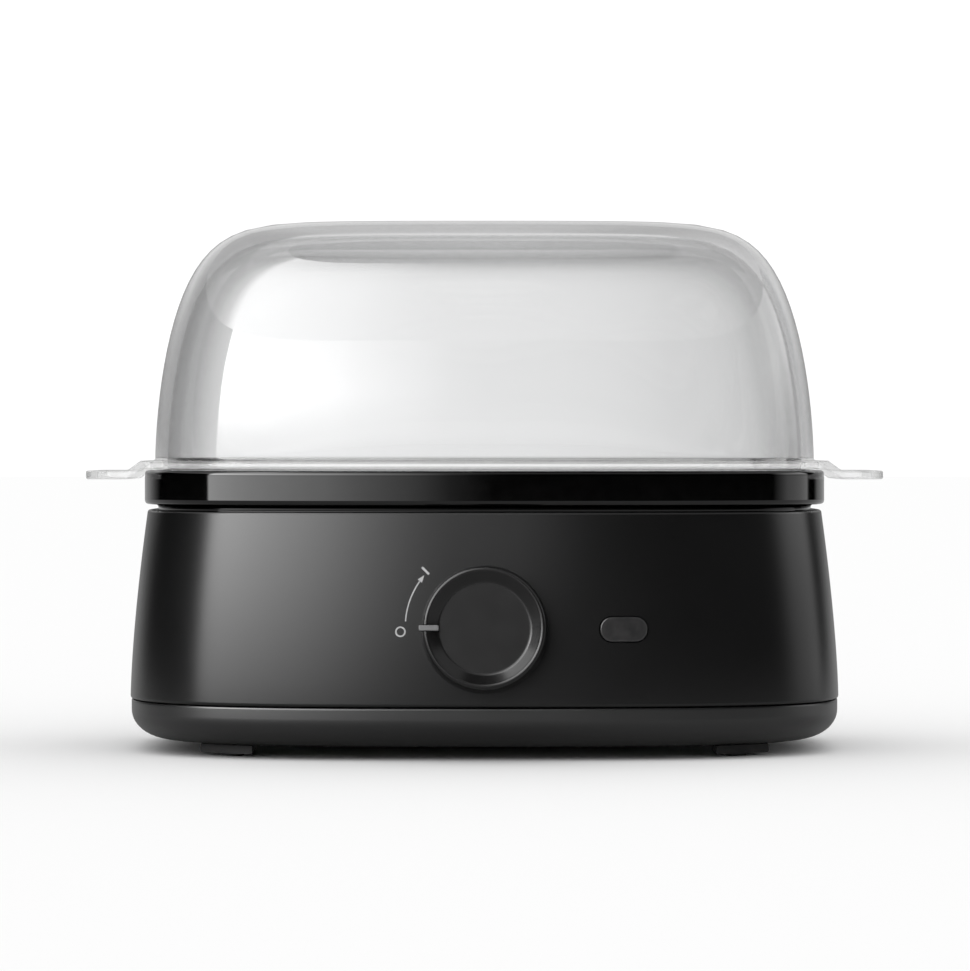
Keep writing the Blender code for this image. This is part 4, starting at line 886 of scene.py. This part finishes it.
pan_levels = [(CAP_HALF, SINK_FLOOR), (0.0500, SINK_FLOOR), (0.0515, PAN_FLOOR), (0.0740, PAN_FLOOR)]
pan_levels += [(0.0775, PAN_FLOOR + 0.0012), (0.0788, 0.0600), (0.0794, 0.0660), (0.0828, 0.0668)]
pan_levels += [(0.0834, 0.0726), (0.0840, PAN_BRIM), (PAN_BRIM_HALF, PAN_BRIM)]
under = [(half_x + PLATE_SHEET * 0.7, z - PLATE_SHEET) for half_x, z in pan_levels[1:-1]]
under = [(CAP_HALF, SINK_FLOOR - PLATE_SHEET), *under, (PAN_BRIM_HALF, PAN_BRIM - PLATE_SHEET)]
plate = shell(eased(under + pan_levels[::-1], 0.0009))
studs = []
for x in (-STUD_X, STUD_X):
    stud_top = PAN_FLOOR - PLATE_SHEET / 2
    studs.append(cylinder(STUD_RADIUS, SHIELD_TOP + FIT_GAP, stud_top, x, MIDDLE.y, 32))
    studs.append(cylinder(THREAD_RADIUS, STUD_END, SHIELD_TOP + 0.001, x, MIDDLE.y, 24, edge=0.0004))
plate = worked(plate, union=studs)

brushed = Finish("brushed_steel", (0.62, 0.62, 0.61), Metallic=1.0)
strokes = brushed.noise(1500.0, detail=4.0, stretch=(0.03, 1.0, 1.0))
stain = brushed.noise(55.0, detail=5.0)
brushed.drive("Base Color", brushed.tones(stain, (0.35, (0.50, 0.49, 0.47)), (0.6, (0.64, 0.64, 0.63))))
brushed.drive("Roughness", 0.2 + 0.14 * strokes + 0.1 * stain)
brushed.bump(strokes, 0.000004)
piece("pan", plate, brushed.material, "base", "stainless_steel", "heating_plate")

sheath = Finish("element_sheath", (0.36, 0.35, 0.34), Metallic=1.0)
tint = sheath.noise(130.0, detail=5.0)
heat_tones = ((0.3, (0.22, 0.20, 0.18)), (0.5, (0.38, 0.36, 0.34)), (0.7, (0.46, 0.45, 0.45)))
sheath.drive("Base Color", sheath.tones(tint, *heat_tones))
sheath.drive("Roughness", 0.36 + 0.2 * tint)
sheath.bump(sheath.noise(1500.0), 0.000006)
refinish(sheath.material, "heating_element", "thermal_fuse")


# ------------------------------------------------------------------ egg tray
# A moulded plate that stands in the pan on its skirt. Six holes with deep collars hold the eggs,
# and two upright tabs lift it out.

TRAY_LOW, TRAY_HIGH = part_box("egg_tray")
TRAY_HALF = (TRAY_HIGH.x - TRAY_LOW.x) / 2
TRAY_UNDER, TRAY_TOP = 0.0696, 0.0718
EGG_RADIUS, EGG_PITCH = 0.0195, 0.0490
SKIRT_WALL, COLLAR_WALL, COLLAR_FOOT = 0.0018, 0.0016, 0.0680
TAB_X, TAB_SHEET, TAB_WIDTH, TAB_EDGE, TAB_ROOT = 0.0755, 0.0024, 0.022, 0.0006, 0.001
SEAT_EASE, SEAT_FOOT, SEAT_TOP = 0.0012, 0.0600, 0.0800

skirt_half = TRAY_HALF - SKIRT_WALL
tray_levels = [(CAP_HALF, TRAY_UNDER), (skirt_half, TRAY_UNDER), (skirt_half, TRAY_LOW.z)]
tray_levels += [(TRAY_HALF, TRAY_LOW.z), (TRAY_HALF, TRAY_TOP), (CAP_HALF, TRAY_TOP)]
tray = shell(eased(tray_levels, 0.0007))
egg_places = [
    (column * EGG_PITCH, MIDDLE.y + row * EGG_PITCH) for column in (-1, 0, 1) for row in (-0.5, 0.5)
]
root = TRAY_TOP - TAB_ROOT
collars = [cylinder(EGG_RADIUS + COLLAR_WALL, COLLAR_FOOT, root, x, y) for x, y in egg_places]
grips = [
    block(TAB_SHEET, TAB_WIDTH, root, TRAY_HIGH.z, x, MIDDLE.y, edge=TAB_EDGE) for x in (-TAB_X, TAB_X)
]
seat_profile = [(0.0, SEAT_FOOT), (EGG_RADIUS, SEAT_FOOT), (EGG_RADIUS, TRAY_TOP - SEAT_EASE)]
seat_profile += [(EGG_RADIUS + 0.0004, TRAY_TOP - 0.0004), (EGG_RADIUS + SEAT_EASE, TRAY_TOP)]
seat_profile += [(EGG_RADIUS + SEAT_EASE, SEAT_TOP), (0.0, SEAT_TOP)]
seats = [turned(seat_profile, Matrix.Translation((x, y, 0.0)), 72) for x, y in egg_places]
tray = worked(tray, union=collars + grips, difference=seats)
tray_black = moulded("tray_black", (0.030, 0.030, 0.031), 0.42, 0.00001, 2200.0)
piece("tray", tray, tray_black, "tray", "tray_black", "egg_tray")


# ------------------------------------------------------------------ lid
# A clear moulded dome with a flat top. A lip inside the rim centres it, a flange rests on the
# rim, and two flat grips run out from the flange over the rim's ends.

LID_LOW, LID_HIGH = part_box("lid")
LID_TOP = LID_HIGH.z
LID_WALL = 0.0034
LID_FOOT_HALF = 0.0922
FLANGE_UNDER, FLANGE_TOP = 0.0780, 0.0804
FLANGE_HALF = 0.0944
LIP_HALF, LIP_WALL = RIM_INNER_HALF - 0.0004, 0.0024
LIP_CHAMFER = 0.0012
GRIP_END, GRIP_WIDTH = LID_HIGH.x, 0.056
GRIP_SHEET, GRIP_DROP = 0.0024, 0.0028
GRIP_ROOT, SLOPE_START, SLOPE_END = 0.0022, 0.0006, 0.0045
GRIP_CORNER, GRIP_EDGE = 0.009, 0.0006
SIDE_POWER, RISE_POWER = 9.1, 1.65


def dome_side(foot_half, top):
    """Levels up the lid's side and over its shoulder, to the flat of its top."""
    angles = [step * 4.0 for step in range(20)]
    angles += [90.0 - 14.0 * 0.62**step for step in range(1, 14)]
    for angle in angles:
        half_x = foot_half * cos(radians(angle)) ** (2 / SIDE_POWER)
        if half_x > CAP_HALF:
            yield half_x, FLANGE_TOP + (top - FLANGE_TOP) * sin(radians(angle)) ** (2 / RISE_POWER)


def lid_grip(side):
    """A grip, grown from the flange: flat, then a short slope, then flat again to its end."""
    bm = bmesh.new()
    bmesh.ops.create_grid(bm, x_segments=3, y_segments=1, size=0.5)
    stations = [(FLANGE_HALF - GRIP_ROOT, 0.0), (FLANGE_HALF + SLOPE_START, 0.0)]
    stations += [(FLANGE_HALF + SLOPE_END, -GRIP_DROP), (GRIP_END, -GRIP_DROP)]
    for vert in bm.verts:
        x, z = stations[round((vert.co.x + 0.5) * 3)]
        vert.co = (x, vert.co.y * GRIP_WIDTH, FLANGE_TOP + z - GRIP_SHEET)
    tips = [vert for vert in bm.verts if vert.co.x > GRIP_END - 0.0001]
    bevel = dict(offset=GRIP_CORNER, segments=10, profile=0.5, affect="VERTICES", material=-1)
    bmesh.ops.bevel(bm, geom=tips, **bevel)
    lower = bm.faces[:]
    upper = bmesh.ops.extrude_face_region(bm, geom=lower)["geom"]
    lifted = [item for item in upper if isinstance(item, bmesh.types.BMVert)]
    bmesh.ops.translate(bm, vec=(0.0, 0.0, GRIP_SHEET), verts=lifted)
    bmesh.ops.recalc_face_normals(bm, faces=bm.faces)
    rims = [edge for edge in bm.edges if edge.is_manifold and edge.calc_face_angle() > radians(60.0)]
    spans = [(edge, edge.verts[0].co - edge.verts[1].co) for edge in rims]
    rims = [edge for edge, span in spans if abs(span.z) < GRIP_SHEET * 0.9 or abs(span.x) > 0.0001]
    round_off(bm, rims, GRIP_EDGE, 4)
    turn = Matrix.Rotation(0.0 if side > 0 else pi, 4, "Z")
    return placed(bm, Matrix.Translation((0.0, MIDDLE.y, 0.0)) @ turn)


inner_side = list(dome_side(LID_FOOT_HALF - LID_WALL, LID_TOP - LID_WALL))
outer_side = list(dome_side(LID_FOOT_HALF, LID_TOP))
chamfer_top = FLANGE_UNDER - FIT_GAP
lid_levels = [*reversed(inner_side), (LID_FOOT_HALF - LID_WALL, chamfer_top)]
lid_levels += [(LIP_HALF - LIP_WALL, chamfer_top - LIP_CHAMFER), (LIP_HALF - LIP_WALL, LID_LOW.z)]
lid_levels += [(LIP_HALF, LID_LOW.z)]
lid_levels += [(LIP_HALF, FLANGE_UNDER), (FLANGE_HALF, FLANGE_UNDER), (FLANGE_HALF, FLANGE_TOP)]
lid = shell(eased(lid_levels + outer_side, 0.0007, 4))
lid = worked(lid, union=[lid_grip(1), lid_grip(-1)])


def clear_plastic(name, *stops, alpha=1.0):
    """Clear moulded plastic with faint rub marks, its colour darkened where the surface is seen edge-on:
    painted shade for the dark surroundings that the lid refracts at its edges.
    """
    clear = Finish(name, (0.9, 0.9, 0.9), Transmission_Weight=1.0, IOR=1.5, Alpha=alpha)
    edge_on = clear.node("ShaderNodeLayerWeight", Blend=0.5, output="Facing")
    tones = [(share, (tone, tone * 1.002, tone * 1.004)) for share, tone in stops]
    # Base Color darkens as the surface turns edge-on: painted shade, not the clear plastic's own tint.
    clear.drive("Base Color", clear.tones(edge_on, *tones))
    rubbed = clear.noise(240.0, detail=5.0)
    sheen = dict(Value=rubbed, From_Min=0.62, From_Max=0.9, To_Max=0.04)
    clear.drive("Roughness", clear.node("ShaderNodeMapRange", **sheen))
    clear.bump(clear.noise(30.0, detail=1.0), 0.000008)
    return clear.material


# The lid's painted shade, outside and inside: stops of (facing, tone), darker towards edge-on.
OUTSIDE_SHADE_STOPS = (
    (0.0, 0.975), (0.3, 0.94), (0.42, 0.80), (0.5, 0.50), (0.6, 0.38), (0.75, 0.40), (0.9, 0.38),
    (1.0, 0.34),
)
INSIDE_SHADE_STOPS = ((0.0, 0.975), (0.14, 0.94), (0.3, 0.85), (0.5, 0.60), (0.7, 0.40), (1.0, 0.42))

clear_outside = clear_plastic("clear_outside", *OUTSIDE_SHADE_STOPS)
clear_inside = clear_plastic("clear_inside", *INSIDE_SHADE_STOPS)
# The flange and grips take the same painted shade, darker edge-on, and are partly see-through.
clear_flange = clear_plastic("clear_flange", (0.0, 0.95), (0.6, 0.85), (1.0, 0.70), alpha=0.45)
heart = Vector((0.0, MIDDLE.y, FLANGE_TOP))
for face in lid.faces:
    centre = face.calc_center_median()
    if centre.z < FLANGE_TOP + 0.0006 or abs(centre.x) > LID_FOOT_HALF + 0.001:
        face.material_index = 2
    elif face.normal.dot(centre - heart) < 0.0:
        face.material_index = 1
lid = piece("lid_dome", lid, clear_outside, "lid", "clear_plastic", "lid", sharp=35.0)
lid.data.materials.append(clear_inside)
lid.data.materials.append(clear_flange)


# ------------------------------------------------------------------ knob
# A moulded knob with a dished face and a slightly flared side, pushed on the switch's shaft. A
# light grey pointer is let into its rim and stands level with it.

KNOB_RADIUS, KNOB_GAP, KNOB_TALL = 0.0170, 0.0006, 0.0130
FACE = KNOB_GAP + KNOB_TALL
DISH = FACE - 0.0024
POINTER_LENGTH, POINTER_WIDTH, POINTER_FOOT, POINTER_X = 0.0053, 0.0015, 0.0096, -0.0148
GROOVE_LENGTH, GROOVE_GAP, GROOVE_TOP = 0.0061, 0.0004, 0.020
BORE_RADIUS, BORE_END = 0.0033, 0.0092
HUB_RADIUS, HUB_FOOT = 0.0052, 0.0010
SKIRT_INNER, SKIRT_ROOF = 0.0148, FACE - 0.0040

knob_profile = [(0.0, DISH), (0.0124, DISH), (0.0147, FACE - 0.0005), (0.0151, FACE - 0.0001)]
knob_profile += [(0.0156, FACE), (0.0161, FACE - 0.0002), (0.0164, FACE - 0.0009)]
knob_profile += [(0.0168, FACE - 0.0040), (KNOB_RADIUS, KNOB_GAP + 0.002), (KNOB_RADIUS, KNOB_GAP)]
knob_profile += [(0.0154, KNOB_GAP), (SKIRT_INNER, SKIRT_ROOF), (HUB_RADIUS, SKIRT_ROOF)]
knob_profile += [(HUB_RADIUS, HUB_FOOT), (BORE_RADIUS, HUB_FOOT), (BORE_RADIUS, BORE_END), (0.0, BORE_END)]
knob = turned(eased(knob_profile, 0.00035, 4), KNOB_PLACE, 144)
groove = block(
    GROOVE_LENGTH, POINTER_WIDTH + GROOVE_GAP, POINTER_FOOT - FIT_GAP, GROOVE_TOP, POINTER_X - FIT_GAP
)
knob = worked(knob, difference=[placed(groove, KNOB_PLACE)])

knob_black = Finish("knob_black", (0.006, 0.0058, 0.0059), Specular_IOR_Level=0.45)
skin = knob_black.noise(3800.0, detail=1.0)
wear = knob_black.noise(180.0, detail=4.0)
wear_tones = ((0.3, (0.0052, 0.0050, 0.0051)), (0.7, (0.0066, 0.0063, 0.0064)))
knob_black.drive("Base Color", knob_black.tones(wear, *wear_tones))
knob_black.drive("Roughness", 0.20 + 0.06 * wear + 0.03 * skin)
knob_black.bump(skin, 0.000002)
piece("knob_turning", knob, knob_black.material, "dial", "knob_black", "knob")

pointer = block(
    POINTER_LENGTH, POINTER_WIDTH, POINTER_FOOT, FACE + 0.0001, POINTER_X, corner=0.0004, edge=0.00025
)
pointer_grey = moulded("pointer_grey", (0.15, 0.15, 0.152), 0.40)
piece("pointer", placed(pointer, KNOB_PLACE), pointer_grey, "dial", "pointer_grey", "knob_pointer")
refinish(moulded("shaft_grey", (0.10, 0.10, 0.11), 0.45), "switch_shaft")

boxes = {"cad": CAD_BOX, "visual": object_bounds()}
{name: [list(corner) for corner in box] for name, box in boxes.items()}
